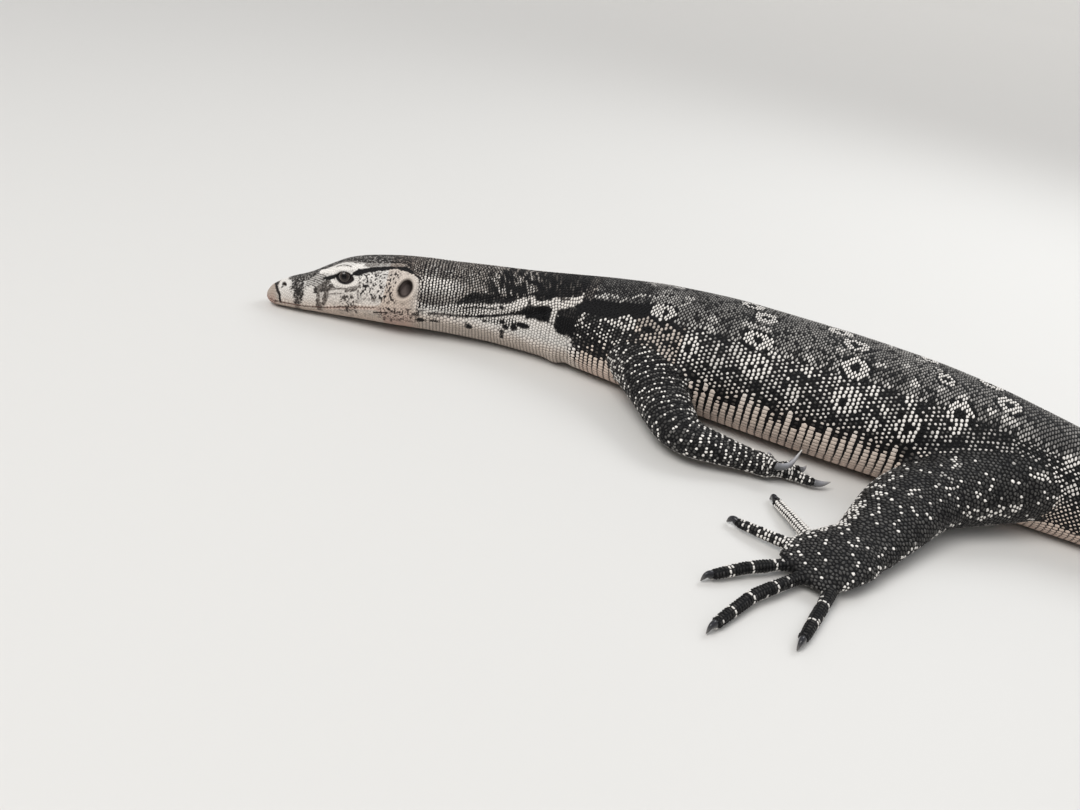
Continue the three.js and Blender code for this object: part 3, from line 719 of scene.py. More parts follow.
def set_camera():
    """The photograph's view: from the lizard's left, looking down, tilted to its right."""
    turn, tilt, roll = [math.radians(CAMERA[key]) for key in ("turn", "tilt", "roll")]
    forward = Vector((-math.sin(turn) * math.cos(tilt), math.cos(turn) * math.cos(tilt), -math.sin(tilt)))
    right = Vector((math.cos(turn), math.sin(turn), 0))
    up = right.cross(forward)
    rolled_right = right * math.cos(roll) + up * math.sin(roll)
    rolled_up = up * math.cos(roll) - right * math.sin(roll)
    camera = add_object("camera", bpy.data.cameras.new("camera"))
    basis = Matrix((rolled_right, rolled_up, -forward)).transposed().to_4x4()
    camera.matrix_world = Matrix.Translation(Vector(CAMERA["place"]) * MM) @ basis
    camera.data.sensor_fit = "HORIZONTAL"
    camera.data.sensor_width = 36
    camera.data.lens = CAMERA["lens"]
    camera.data.clip_start = 0.01
    bpy.context.scene.camera = camera


def area_light(name, place, target, size, power, colour):
    data = bpy.data.lights.new(name, "AREA")
    data.shape = "DISK"
    data.size = size
    data.energy = power
    data.color = colour
    lamp = add_object(name, data)
    lamp.location = place
    lamp.rotation_euler = (Vector(target) - Vector(place)).to_track_quat("-Z", "Y").to_euler()


# The floor and the wall round it as radius and height, from the middle outwards
BACKDROP = [(1, 0), (1000, 0), (5000, 0), (7000, 300), (8600, 1100), (9600, 2600), (10000, 6000)]


def backdrop_rings():
    """A pale floor that turns up into a wall all round, far behind the lizard."""
    turn = np.arange(96) * 2 * math.pi / 96
    rings = []
    for radius, height in BACKDROP:
        rings.append(np.stack([radius * np.cos(turn), radius * np.sin(turn), np.full(96, height - 0.05)], 1))
    return np.array(rings)


def set_inputs(node, values):
    for name, value in values.items():
        node.inputs[name].default_value = value
    return node


def new_material(name, values):
    """A material, its nodes and links, and the node of its surface with the values given."""
    material = bpy.data.materials.new(name)
    material.use_nodes = True
    tree = material.node_tree
    return material, tree.nodes, tree.links, set_inputs(tree.nodes["Principled BSDF"], values)


def build_studio():
    sun = bpy.data.lights.new("daylight", "SUN")
    sun.energy = 1.6
    sun.angle = math.radians(40)
    sun.color = (1, 0.98, 0.95)
    lamp = add_object("daylight", sun)
    lamp.rotation_euler = Vector((-0.35, -0.75, 1.25)).to_track_quat("Z", "Y").to_euler()
    area_light("key", (-0.5, -0.9, 1.2), (0, 0, 0), 0.6, 5, (1, 0.99, 0.97))
    area_light("back", (0.4, 0.9, 1.1), (0.1, 0, 0), 0.8, 7, (0.95, 0.98, 1))
    world = bpy.data.worlds.new("room")
    bpy.context.scene.world = world
    world.use_nodes = True
    set_inputs(world.node_tree.nodes["Background"], {"Color": (0.94, 0.96, 1, 1), "Strength": 0.55})
    bpy.context.scene.view_settings.view_transform = "Standard"
    points, faces = loft(backdrop_rings())
    floor = mesh_object("floor", points, [face for face in faces if len(points) - 1 not in face])
    smooth_faces(floor.data)
    material = new_material("floor", {"Base Color": (0.66, 0.65, 0.63, 1), "Roughness": 0.6})[0]
    floor.data.materials.append(material)


# Scale rows on the body, each as distance, step from row to row, spacing in a row
BACK_ROWS = table([
    (0, 1, 2), (20, 1.15, 2.3), (100, 1.25, 2.3), (108, 2.1, 1.8), (200, 2.2, 1.9), (225, 1.35, 3),
    (300, 1.35, 3.4), (480, 1.35, 3.3), (560, 1.55, 3.3), (700, 1.6, 3.1), (900, 1.55, 2.7),
    (1100, 1.4, 2.2), (1310, 1.1, 1.6),
])
FLANK_ROWS = table([(218, 2.3, 2.2), (300, 2.8, 2.5), (500, 2.6, 2.4)])
BELLY_ROWS = table([
    (105, 2.3, 2.1), (218, 2.8, 2.4), (250, 4.7, 2.5), (470, 4.7, 2.5), (520, 3, 2.6), (700, 2.9, 2.4),
    (900, 2.6, 2), (1100, 2.2, 1.7), (1310, 1.6, 1.3),
])
# How far rows lean forwards for each degree above the side
ROW_LEAN = line([
    (125, 0), (150, 0.2), (190, 0.2), (225, 0.05), (420, 0), (450, 0.08), (500, 0.08), (540, 0),
])
LEAN_FROM = 30
# The angles at which rows of the back, flank and belly end
FLANK_TOP = line([(218, 10), (236, 48), (480, 48), (500, 8)])
BELLY_TOP = line([
    (105, -14), (212, -8), (236, 12), (262, 8), (290, 9), (300, 14), (316, 7), (322, 2), (330, 5), (340, 13),
    (348, 12), (356, 4), (366, 9), (374, 3), (382, 10), (392, 5), (402, 12), (415, 6), (430, 11), (445, 5),
    (460, 10), (480, 12), (505, -10), (600, -38), (1310, -50),
])
FLANK_END = 494
BACK_BOTTOM = line([(105, -14), (212, -8), (236, 48), (480, 48), (505, -10), (600, -38), (1310, -50)])
# How far scales stray from their places, as a share of their spacing, and factors for some parts
JITTER = 0.05
UNREST = {"belly": 0.25, "limb": 2.2, "palm": 2.2, "digit": 0.3}
# Corners of a scale
SIDES = 7
RANDOM = np.random.default_rng(SEED)


def arcs_of(surface, length):
    """Lengths round the left side, from the middle of the back, for each millimetre of a tube."""
    u = np.minimum(np.arange(int(length) + 2), length)
    points = surface(u[:, None], 90.0 - np.arange(181)[None])
    steps = np.linalg.norm(np.diff(points, axis=1), axis=2)
    return np.hstack([np.zeros((len(u), 1)), np.cumsum(steps, axis=1)])


def lay_rows(arcs, start, end, rows, top, bottom, from_belly=False, offset=0.5, unrest=1, leans=False):
    """Seeds (u, degrees, step, spacing, odd row) in rows across a tube, every other row set off."""
    found = []
    u, row = start, 0
    turns = np.arange(181)
    while u < end:
        step, spacing = rows(u)
        reach = arcs[min(int(round(u)), len(arcs) - 1)]
        high, low = np.interp([90 - top(u), 90 - bottom(u)], turns, reach)
        far = np.arange(spacing * offset * (row % 2), reach[-1], spacing)
        across = reach[-1] - far if from_belly else far
        keep = (across >= high) & (across <= low)
        left = 90 - np.interp(across[keep], reach, turns)
        right = 180 - left[far[keep] > spacing / 4]
        degrees = np.concatenate([left, np.where(right > 180, right - 360, right)])
        leaning = -ROW_LEAN(u) * np.maximum(mirrored(degrees) - LEAN_FROM, 0) if leans else 0
        shift = RANDOM.normal(0, JITTER * unrest, (len(degrees), 2))
        place = np.maximum(u + leaning + shift[:, 0] * step * 2, 0)
        degrees = degrees + shift[:, 1] * spacing * 180 / reach[-1]
        found.append(np.column_stack([place, degrees, np.tile([step, spacing, row % 2], (len(degrees), 1))]))
        u += float(step)
        row += 1
    return np.vstack(found)


def constant(value):
    return lambda _: value


class Seeds:
    """Places of scales: tube number (0 is the body), distance, angle, spacing, odd row and point."""

    def __init__(self):
        self.rows, self.points = [], []

    def add(self, tube, seeds, points, size):
        odd = seeds[:, 4] if seeds.shape[1] > 4 else np.zeros(len(seeds))
        self.rows.append(np.column_stack([np.full(len(seeds), tube), seeds[:, :2], size, odd]))
        self.points.append(points)

    def joined(self):
        return np.vstack(self.rows), np.vstack(self.points)


HEXAGONS = 1.1547


def cell_size(seeds):
    """The spacing of an even pattern with as many scales on the same area."""
    return np.sqrt(seeds[:, 2] * seeds[:, 3] * HEXAGONS)


# Distances of rings of small scales from an opening's edge, their spacing and its growth outwards
OPENING_RINGS = ((EYE, (0.75, 1.9, 3.2)), (EAR, (1.3,)), (NOSTRIL, (1,)))
RING_SPACING, RING_GROWTH = 1.15, 0.25
# Rows of plates along the lips: distance over the mouth line and spacing
LIP_ROWS = ((1.75, 2.4), (-1.7, 2.3))


def plan_seeds(tree):
    """Places of all scales before those that are hidden or too close are taken out."""
    found = Seeds()
    for spot, offsets in OPENING_RINGS:
        for sign in (1, -1):
            for i, off in enumerate(offsets):
                spacing = RING_SPACING + RING_GROWTH * i
                ring, points = ring_seeds(tree, spot, sign, off, spacing)
                found.add(0, ring, points, np.full(len(ring), spacing))
    for off, spacing in LIP_ROWS:
        s = np.arange(4, MOUTH_CORNER - 1, spacing)
        left = mouth_angle(s) + off / millimetres_per_degree(s, mouth_angle(s))
        for degrees in (left, -180 - left):
            seeds = np.stack([s, degrees], 1)
            found.add(0, seeds, body_surface(s, degrees), np.full(len(s), LIP_ROWS[1][1]))
    arcs = arcs_of(body_surface, TOTAL_LENGTH)
    back, belly, tip = constant(90), constant(-90), TOTAL_LENGTH - 1
    for zone in (
        (0.8, HEAD_END, BACK_ROWS, back, belly),
        (HEAD_END, tip, BACK_ROWS, back, BACK_BOTTOM),
        (NECK_FINE, FLANK_END, FLANK_ROWS, FLANK_TOP, BELLY_TOP),
        (HEAD_END, NECK_FINE, BELLY_ROWS, BELLY_TOP, belly, True, 0.5, UNREST["belly"]),
        (NECK_FINE, tip, BELLY_ROWS, BELLY_TOP, belly, True, 0, UNREST["belly"]),
    ):
        seeds = lay_rows(arcs, *zone, leans=True)
        found.add(0, seeds, body_surface(seeds[:, 0], seeds[:, 1]), cell_size(seeds))
    for number, tube in enumerate(TUBES, 1):
        length = tube.path.length
        arcs = arcs_of(tube.surface, length)
        offset = 0 if tube.name.startswith("digit") else 0.5
        unrest = UNREST[tube.name.split("_")[0]]
        seeds = lay_rows(arcs, 1, length + 1, constant(tube.rows), back, belly, False, offset, unrest)
        seeds[:, 0] = np.minimum(seeds[:, 0], length)
        found.add(number, seeds, tube.surface(seeds[:, 0], seeds[:, 1]), cell_size(seeds))
    return found.joined()


def ring_seeds(tree, spot, sign, off, spacing):
    """Small scales in a ring at a distance off an oval opening's edge."""
    long, high = spot["long"] + off, spot["high"] + off
    count = int(math.pi * (long + high) / spacing)
    turn = np.arange(count) * 2 * math.pi / count
    up = high * np.sin(turn)
    s, z = spot["s"] + long * np.cos(turn) + up * spot.get("lean", 0), spot["z"] + up
    outer = body_point(s, sign * 60.0, z)
    inner = body_point(s, sign * 0.0, z)
    points = []
    for i in range(count):
        way = Vector(inner[i] - outer[i]).normalized()
        hit = tree.ray_cast(Vector(outer[i]), way)[0]
        if hit is not None:
            points.append(list(hit))
    points = np.array(points)
    s, _, _, degrees = locate(points)
    return np.stack([s, degrees], 1), points


# Seeds further than this from the skin are hidden inside it
HIDDEN_DEPTH = 1.9
# Shares of a scale's spacing: nearer seeds are taken out, skin further off counts as bare, and
# seeds on bare skin keep this distance
CLOSEST, BARE, FILLED = 0.62, 0.78, 0.8


def in_openings(points, clear):
    """Which points lie in an eye, ear or nostril or within the distance given for it."""
    s, side, z, _ = locate(points)
    inside = np.zeros(len(s), bool)
    for spot, reach in zip((EYE, EAR, NOSTRIL), clear):
        inside |= (opening_distance(s, z, spot) < reach) & (np.abs(side) > spot["side"] * 0.4)
    return inside & (s < OPENINGS_END)


def place_seeds(skin):
    """Seeds on the skin, none hidden, none too close, and none missing where limbs join."""
    mesh = skin.data
    skin_points, normals = points_of(mesh), read_vertices(mesh, "normal")
    faces = [tuple(p.vertices) for p in mesh.polygons]
    tree = BVHTree.FromPolygons([tuple(p) for p in skin_points], faces)
    rows, wanted = plan_seeds(tree)
    points, seed_normals = np.empty_like(wanted), np.empty_like(wanted)
    off = np.empty(len(wanted))
    for i, p in enumerate(wanted):
        hit, _, face, off[i] = tree.find_nearest(p)
        points[i] = hit
        seed_normals[i] = normals[list(faces[face])].mean(0)
    keep = off < HIDDEN_DEPTH
    keep &= ~(in_openings(points, (0.3, 0.75, 0.4)) & (rows[:, 0] == 0))
    rows, points, seed_normals = rows[keep], points[keep], seed_normals[keep]
    chosen = thin_out(points, rows[:, 3] * CLOSEST)
    rows, points, seed_normals = rows[chosen], points[chosen], seed_normals[chosen]
    return fill_gaps(rows, points, seed_normals, skin_points, normals)


def thin_out(points, reach):
    """The seeds that remain when each takes away the later ones within its reach."""
    tree = tree_of(points)
    alive = np.ones(len(points), bool)
    for i, p in enumerate(points):
        if alive[i]:
            for _, j, _ in tree.find_range(p, reach[i]):
                if j > i:
                    alive[j] = False
    return np.nonzero(alive)[0]


def fill_gaps(rows, points, seed_normals, skin_points, normals):
    """Adds seeds where the skin is bare, but not in openings or in the line of the mouth."""
    tree = tree_of(points)
    s, _, _, degrees = locate(skin_points)
    bare = in_openings(skin_points, (0.5, 0.9, 0.5))
    off_line = mirrored(degrees) - mouth_angle(s)
    bare |= (s < MOUTH_CORNER) & (np.abs(off_line) < 2)
    owner = np.zeros(len(skin_points), int)
    open_spots = []
    for i, p in enumerate(skin_points):
        if not bare[i]:
            _, owner[i], far = tree.find(p)
            if far > rows[owner[i], 3] * BARE:
                open_spots.append(i)
    open_spots = np.array(open_spots, int)
    RANDOM.shuffle(open_spots)
    size = rows[owner[open_spots], 3]
    chosen = open_spots[thin_out(skin_points[open_spots], size * FILLED)]
    extra = rows[owner[chosen]].copy()
    for number in np.unique(extra[:, 0]).astype(int):
        mine = extra[:, 0] == number
        u, degrees = coordinates(number, skin_points[chosen[mine]])
        extra[mine, 1], extra[mine, 2] = u, degrees
    return (np.vstack([rows, extra]), np.vstack([points, skin_points[chosen]]),
            np.vstack([seed_normals, normals[chosen]]))


def coordinates(number, points):
    """Distance along a tube and angle round it of points near it."""
    if number == 0:
        s, _, _, degrees = locate(points)
        return s, degrees
    tube = TUBES[number - 1]
    u = np.linspace(0, tube.path.length, 80)
    near = np.argmin(np.linalg.norm(points[:, None] - tube.path.at(u)[None], axis=2), axis=1)
    u = u[near]
    centre, _, level, rise = tube.path.frame(u)
    girth = tube.girth(u / tube.path.length)
    offset = points - centre
    width = (offset * level).sum(1) / girth[:, 0]
    height = (offset * rise).sum(1) / girth[:, 1]
    return u, np.degrees(np.arctan2(height, width))


def directions(rows):
    """The way along the body or limb at each seed, from head to tail or from root to tip."""
    along = np.empty((len(rows), 3))
    for number in np.unique(rows[:, 0]).astype(int):
        mine = rows[:, 0] == number
        u = rows[mine, 1]
        if number == 0:
            heading = heading_at(u)
            along[mine] = np.stack([np.cos(heading), np.sin(heading), np.zeros(len(u))], 1)
        else:
            along[mine] = TUBES[number - 1].path.frame(u)[1]
    return along


# How many of its neighbours shape a scale, and its greatest reach as a share of its spacing
NEIGHBOURS, WIDEST = 10, 0.85
# Where the corners of a scale lie round its middle: evenly, or so that it can be a rectangle
EVEN_TURNS = np.arange(SIDES) * 2 * math.pi / SIDES
PLATE_TURNS = np.radians([0, 45, 90, 135, 225, 270, 315])


def cell_outlines(points, normals, along, size, squash, lengthwise, crosswise, turn):
    """Tangent frames of the seeds, and how far each scale reaches and drops in each direction."""
    tree = tree_of(points)
    near = np.zeros((len(points), NEIGHBOURS), int)
    for i, p in enumerate(points):
        found = [j for _, j, _ in tree.find_n(p, NEIGHBOURS + 1) if j != i]
        near[i, :] = (found * 2)[:NEIGHBOURS]
    normals = normals / np.linalg.norm(normals, axis=1, keepdims=True)
    ahead = along - normals * (along * normals).sum(1, keepdims=True)
    length = np.linalg.norm(ahead, axis=1, keepdims=True)
    spare = np.cross(normals, [0.3, 0.5, 0.8])
    ahead = np.where(length > 0.15, ahead / np.maximum(length, 1e-6), spare)
    ahead /= np.linalg.norm(ahead, axis=1, keepdims=True)
    across = np.cross(normals, ahead)
    offset = points[near] - points[:, None]
    x = (offset * ahead[:, None]).sum(2) * squash[:, None]
    y = (offset * across[:, None]).sum(2)
    fall = -(offset * normals[:, None]).sum(2)
    far = np.maximum(np.hypot(x, y), 1e-3)
    bearing = np.arctan2(y, x)
    facing = np.cos(turn[:, None] - bearing[:, :, None])
    every = np.where(facing > 0.15, far[:, :, None] / 2 / np.maximum(facing, 0.15), 1e3)
    reach = every.min(1)
    nearest = every.argmin(1)
    reach = np.minimum(reach, size[:, None] * WIDEST)
    index = np.arange(len(points))[:, None]
    drop = fall[index, nearest] * (reach / far[index, nearest]) ** 2
    drop = np.clip(drop, -0.3 * reach, 0.5 * reach) * (lengthwise * crosswise)[:, None]
    way = ahead[:, None] * (np.cos(turn) * (lengthwise / squash)[:, None])[..., None]
    way = way + across[:, None] * (np.sin(turn) * crosswise[:, None])[..., None]
    return {"up": normals, "ahead": ahead, "turn": turn, "way": way, "reach": reach, "drop": drop}


# Where the shoulder is between the middle and the rim of a scale, and how deep the rim is sunk
SHOULDER, ROOT_DEPTH = 0.68, 0.14


def scale_meshes(points, frames, height, lean):
    """Closed domes: a top, a ring of shoulder corners and a rim sunk in the skin."""
    up, way = frames["up"][:, None], frames["way"]
    reach, drop = frames["reach"], frames["drop"]
    rim = points[:, None] + way * reach[:, :, None] - up * (drop + ROOT_DEPTH)[..., None]
    back = np.maximum(np.cos(frames["turn"]), 0) * lean[:, None]
    rise = height[:, None] * 0.85 + back - drop * SHOULDER**2
    shoulder = points[:, None] + way * (reach * SHOULDER)[:, :, None] + up * rise[..., None]
    top = points + frames["up"] * height[:, None] + frames["ahead"] * (reach.mean(1) * 0.12)[:, None]
    corners = np.concatenate([top[:, None], shoulder, rim], 1)
    corners[..., 2] = np.maximum(corners[..., 2], 0.03)
    i = np.arange(SIDES)
    j = (i + 1) % SIDES
    faces = [np.stack([np.zeros(SIDES, int), 1 + i, 1 + j], 1)]
    faces.append(np.stack([1 + i, 1 + SIDES + i, 1 + SIDES + j], 1))
    faces.append(np.stack([1 + i, 1 + SIDES + j, 1 + j], 1))
    k = np.arange(1, SIDES - 1)
    faces.append(np.stack([np.full(SIDES - 2, 1 + SIDES), 2 + SIDES + k, 1 + SIDES + k], 1))
    faces = np.vstack(faces)
    every = faces[None] + (np.arange(len(points)) * corners.shape[1])[:, None, None]
    return corners.reshape(-1, 3), every.reshape(-1, 3)


def fast_mesh(name, corners, faces):
    mesh = bpy.data.meshes.new(name)
    mesh.vertices.add(len(corners))
    mesh.vertices.foreach_set("co", (corners * MM).ravel())
    mesh.loops.add(faces.size)
    mesh.loops.foreach_set("vertex_index", faces.ravel())
    mesh.polygons.add(len(faces))
    mesh.polygons.foreach_set("loop_start", np.arange(len(faces)) * 3)
    mesh.update(calc_edges=True)
    smooth_faces(mesh)
    return add_object(name, mesh)


def set_tone(mesh, colours):
    layer = mesh.color_attributes.new("tone", "FLOAT_COLOR", "POINT")
    layer.data.foreach_set("color", np.column_stack([colours, np.ones(len(colours))]).ravel())


# The largest size of a scale's patch, as a share of the unwrap
PATCH = 0.003


def set_patches(mesh, faces, spots, turn, reach):
    """Each scale gets a small patch of its own in the unwrap, placed by its root's distance along and angle
    round.
    """
    count = len(spots)
    local = np.zeros((count, 1 + 2 * SIDES, 2))
    share = reach / reach.max(1, keepdims=True) * PATCH / 2
    ring = np.stack([np.cos(turn) * share, np.sin(turn) * share], 2)
    local[:, 1:1 + SIDES] = ring * 0.66
    local[:, 1 + SIDES:] = ring
    uv = (local + spots[:, None]).reshape(-1, 2)
    layer = mesh.uv_layers.new(name="OFBake")
    layer.data.foreach_set("uv", uv[faces.ravel()].ravel())


# Tones run from black at 0 to white at 1. The edge of the dark crown and the markings are given
# for the left side. Marks are laid on in their order, and each ends with its tone:
# a stroke through a list of (s, degrees) has a half width in millimetres,
# an oval at one (s, degrees) has a half length in millimetres and a half height in degrees,
# and a ring is an oval with a third size, the share that is left open in its middle
CROWN_EDGE = line([
    (0, 100), (5, 95), (8, 66), (17, 57), (19, 44), (27, 42), (33, 50), (40, 60), (55, 65), (66, 57),
    (90, 59), (98, 50), (106, 40), (112, 38),
])
HEAD_MARKS = [
    ((2, 0), 7, 78, 0.76), ([(5, 90), (6.3, 60), (7.6, 38), (9, 18), (10.7, 0), (11.3, -32)], 0.8, 0.1),
    ([(7, 78), (8.2, 56)], 1.4, 0.2), ([(15.5, 24), (16, -50)], 3.2, 0.88),
    ([(22.5, 62), (22.5, 27)], 4.3, 0.2), ([(22.7, 27), (23.6, 5)], 3.5, 0.2),
    ([(23.6, 5), (23.4, -14)], 2.5, 0.24), ([(23.4, -14), (23, -36)], 1.8, 0.34),
    ([(23, -36), (23, -70)], 1.8, 0.6), ([(31, 10), (31, -24)], 3.3, 0.9),
    ([(36, 10), (41, 9), (46, 12)], 2.2, 0.36), ([(36, 13), (41, 20), (45.5, 27)], 2.1, 0.34),
    ([(36.8, 6), (37.2, -6), (37.4, -20), (38, -40)], 1.3, 0.42), ([(42.4, 6), (41.2, -14)], 1.7, 0.42),
    ([(39.5, -18), (39.5, -42)], 1.1, 0.55), ([(41, 2.5), (53, 2.5)], 0.4, 0.5),
    ([(47, 8.5), (54, 8.5), (62, 11)], 0.7, 0.55), ([(56, 5.5), (61, 7), (65, 13)], 1, 0.45),
    ([(37.5, 57), (41, 51), (47, 44), (53, 43), (60, 44), (66.5, 50)], 1.8, 0.97),
    ([(47.5, 51), (52, 50), (57, 47)], 0.35, 0.3), ([(43, 56), (49, 56), (54, 57), (60, 53)], 0.9, 0.9),
    ([(45, 63), (54, 63), (62, 58)], 1.1, 0.5),
    ([(45.5, 24), (48, 17), (52, 13), (56, 12.3), (60, 14.5), (63, 20), (68, 29.5), (74, 33.5)], 1.15, 0.97),
    ([(40.5, 33), (44, 31), (49, 30)], 1.1, 0.08),
    ([(60, 32.5), (66, 38), (72, 42.5), (80, 46.5), (87, 49.5), (93, 48.5), (99, 44), (104, 37)], 1.9, 0.05),
    ([(67, 52), (74, 53.5), (82, 56), (90, 56.5)], 1.6, 0.56),
    ([(74, 33), (79, 37), (84, 43), (88, 45.5), (90, 41)], 0.9, 0.88),
    ([(57, -20), (57.5, -34)], 0.8, 0.3), ([(63.5, -27), (63.8, -34)], 0.6, 0.35),
    ([(76, -21), (85, -16.5)], 0.6, 0.22), ([(83, -32), (83, -43)], 0.8, 0.4),
    ([(87.5, -31), (87.5, -46)], 0.6, 0.45),
]
NECK_MARKS = [
    ([(98, 2), (112, -2), (126, -1)], 2.2, 0.86),
    ([(124, 0), (140, 6), (155, 12), (165, 17), (173, 22)], 2.7, 0.92),
    ([(172, 23), (178, 31), (183, 36)], 3.3, 0.95), ([(183, 32.5), (190, 33), (197, 37)], 1.8, 0.95),
    ([(199, 38), (206, 39.5), (212, 45), (219.5, 53)], 3.7, 0.94), ([(212, 52), (216, 57)], 0.8, 0.12),
    ([(205, 44), (209, 47)], 0.7, 0.3), ([(181.6, 36), (182.4, 30.5)], 0.8, 0.1),
    ([(200.9, 36), (201, 16.5)], 2.1, 0.94), ([(148, 1), (162, 7), (172, 10), (179, 12)], 2.6, 0.9),
    ([(183, 4), (196, 7.5), (203, 4)], 4.6, 0.92), ([(190, -4), (192, -26)], 4, 0.9),
    ([(137, -5), (146, -1), (156, 3), (164, 7.5), (172, 13), (179, 16)], 0.8, 0.04),
    ([(135, 4), (142, 8), (152, 10.5), (159, 13)], 0.5, 0.12), ((163, 16.5), 1.7, 2.2, 0.08),
    ((193, 22), 6, 9, 0.02), ((185, 18), 5.5, 4, 0.02), ([(189, 27), (196.5, 30)], 1.2, 0.02),
    ((180.5, 3), 4.6, 2.8, 0.04), ((174, -2), 2.2, 4, 0.06), ((165, 0.5), 2, 2, 0.08),
    ((168, -4.5), 1.8, 3.5, 0.08), ((165.5, -13), 1.3, 3.4, 0.1), ((166, -21), 1.5, 4, 0.12),
    ((140.5, -19), 2.6, 5, 0.1), ((152, -5), 1.7, 1.6, 0.12), ((107, -26), 2.6, 4, 0.12),
    ((104.5, -15), 1.3, 3, 0.15), ((116, -24), 3, 2.2, 0.15), ((106, -7), 3, 1.4, 0.2),
    ([(112, -11), (124, -9), (136, -6)], 0.8, 0.34), ((212, 13), 8.5, 9, 0.05),
    ([(206, 1), (222, 1)], 2.2, 0.86),
]
TRUNK_MARKS = [
    ([(218, 40), (240, 45), (262, 52)], 5.5, 0.03), ([(226, 57), (233, 57)], 1.4, 0.86),
    ([(230, 61), (236, 63), (240, 61)], 1.3, 0.76), ([(222, 67), (224, 70), (226, 66)], 0.9, 0.64),
    ([(242, 54), (245, 58), (246, 63)], 0.9, 0.7), ([(251, 64), (253, 69), (259, 71)], 1.1, 0.78),
    ([(263, 70), (266, 74), (270, 75)], 1.3, 0.72), ([(266, 80), (268, 86), (269, 92)], 1.2, 0.68),
    ([(274, 71), (277, 78), (280, 76)], 1, 0.68), ((284, 79.5), 3.2, 3.4, 0.74),
    ([(281, 67), (284, 73)], 1.3, 0.78), ([(273, 62), (274, 68)], 0.8, 0.74),
    ((272.5, 54), 6.4, 7.4, 0.5, 0.92), ((271, 54.5), 2.2, 2.6, 0.92),
    ([(222, 33), (223, 29), (221, 25), (223.5, 22.5)], 1.1, 0.88), ([(225, 34), (228, 31)], 0.8, 0.6),
    ([(236, 31.5), (247, 32), (255, 31.5), (262, 30.5)], 1.5, 0.95),
    ([(247, 37), (252, 40), (257, 38), (261, 31)], 1.3, 0.93), ((251.5, 36), 2, 1.2, 0.05),
    ([(250, 28.5), (254, 28)], 0.9, 0.8), ((267, 39.5), 7, 5, 0.74), ((268.5, 34), 4.4, 2.4, 0.03),
    ((267.5, 27.5), 3.8, 2.6, 0.88), ([(273, 29), (279, 21)], 1.9, 0.82), ((284.5, 17), 4.2, 5.4, 0.84),
    ((280, 37.5), 4.2, 5.4, 0.5, 0.84), ((286.5, 36), 2, 3, 0.76), ((295.5, 31), 6, 9, 0.95),
    ((295.5, 30), 1.8, 3, 0.03), ([(374.2, 33), (375, 26)], 0.9, 0.92),
    ([(357.4, 37), (357.6, 31)], 0.9, 0.92), ([(311.6, 40), (311, 34)], 0.9, 0.88),
    ([(312.5, 24), (316.5, 30)], 1.4, 0.84), ([(377, 21), (377.5, 16)], 1.1, 0.95),
    ([(350, 26.5), (352, 22)], 1.1, 0.92), ((303, 61), 3.2, 3.5, 0.8), ((303, 50.5), 3.2, 2.6, 0.8),
    ((314, 24.5), 3.6, 5.5, 0.85), ((331.5, 82), 5.5, 6, 0.5, 0.9), ((333, 54), 7, 6.5, 0.5, 0.95),
    ((386, 82), 6, 6, 0.5, 0.9), ((390, 57), 6, 8, 0.5, 0.95), ((438.5, 77), 4, 5.5, 0.5, 0.9),
    ((451, 48.5), 5.5, 9, 0.5, 0.95), ((474, 77), 5.5, 8, 0.5, 0.9), ((324.5, 66.5), 4.6, 2.8, 0.8),
    ((335.5, 67), 3.8, 2.4, 0.8), ((323.5, 39.5), 3.8, 5, 0.85), ((337, 32), 8, 10.5, 0.96),
    ((335.4, 29.5), 1.5, 2.4, 0.03), ((338.5, 34), 1.5, 1.5, 0.03), ((345, 45.5), 3.4, 3, 0.9),
    ((366, 41), 3.6, 3.6, 0.95), ((363.5, 53), 2.8, 2.6, 0.85), ((361, 62.5), 1.8, 3, 0.8),
    ((378.5, 70), 3, 2.4, 0.85), ((362.5, 20), 4, 4.6, 0.9), ((383, 44), 2.4, 3.6, 0.9),
    ((391.5, 29), 7.5, 10, 0.96), ((390.5, 27), 1.6, 2, 0.03), ((393.5, 32), 1.4, 1.8, 0.03),
    ((402, 67), 3.4, 2.4, 0.85), ((423, 60.5), 2.4, 4, 0.9), ((433.5, 88), 2.6, 3, 0.75),
    ((437.5, 63.5), 2, 3, 0.85), ((449.5, 63.5), 3, 3, 0.9), ((465.5, 61), 2.2, 3.4, 0.9),
    ((476, 59.5), 4, 4, 0.85), ((403.5, 42.5), 3, 5, 0.95), ((424, 45.5), 2.4, 5, 0.95),
    ((410, 51), 1.5, 2.4, 0.85), ((416, 77), 1.5, 2.4, 0.8), ((451, 33.5), 3.2, 4, 0.95),
    ((428, 24), 5.5, 9.5, 0.5, 0.95), ((413, 31.5), 3, 3, 0.95), ((409.5, 16), 3, 4.5, 0.95),
    ((443, 25.5), 2.2, 2, 0.95), ((511, 46), 4, 7, 0.9), ((501, 63), 9, 8, 0.4), ((508, 10), 4.5, 8, 0.85),
    ((517, 22), 3, 5, 0.85),
]
# The marks of the right side of the trunk lie this much further forwards
RIGHT_SHIFT = 11
# The place of a dark speck under the nostril
SNOUT_SPECK = (11.7, 31)
# Where the head's markings end, by the angle
HEAD_LIMIT = line([(-90, 104), (34, 104), (46, 98), (90, 95)])
# Shares of their size at which ovals, rings and the dark round rings end, and the tone of that dark
OVAL_EDGE, RING_EDGE, RING_HALO, HALO_TONE = 1.1, 1.28, 1.5, 0.03
# Values of the noise, and the colours of tones
BLOTS = np.random.default_rng(SEED).random((61, 61))
BLACK = np.array([0.004, 0.004, 0.0046])
WHITE = np.array([0.94, 0.915, 0.875])
CREAM = np.array([0.74, 0.62, 0.53])
PINK = np.array([0.66, 0.44, 0.37])


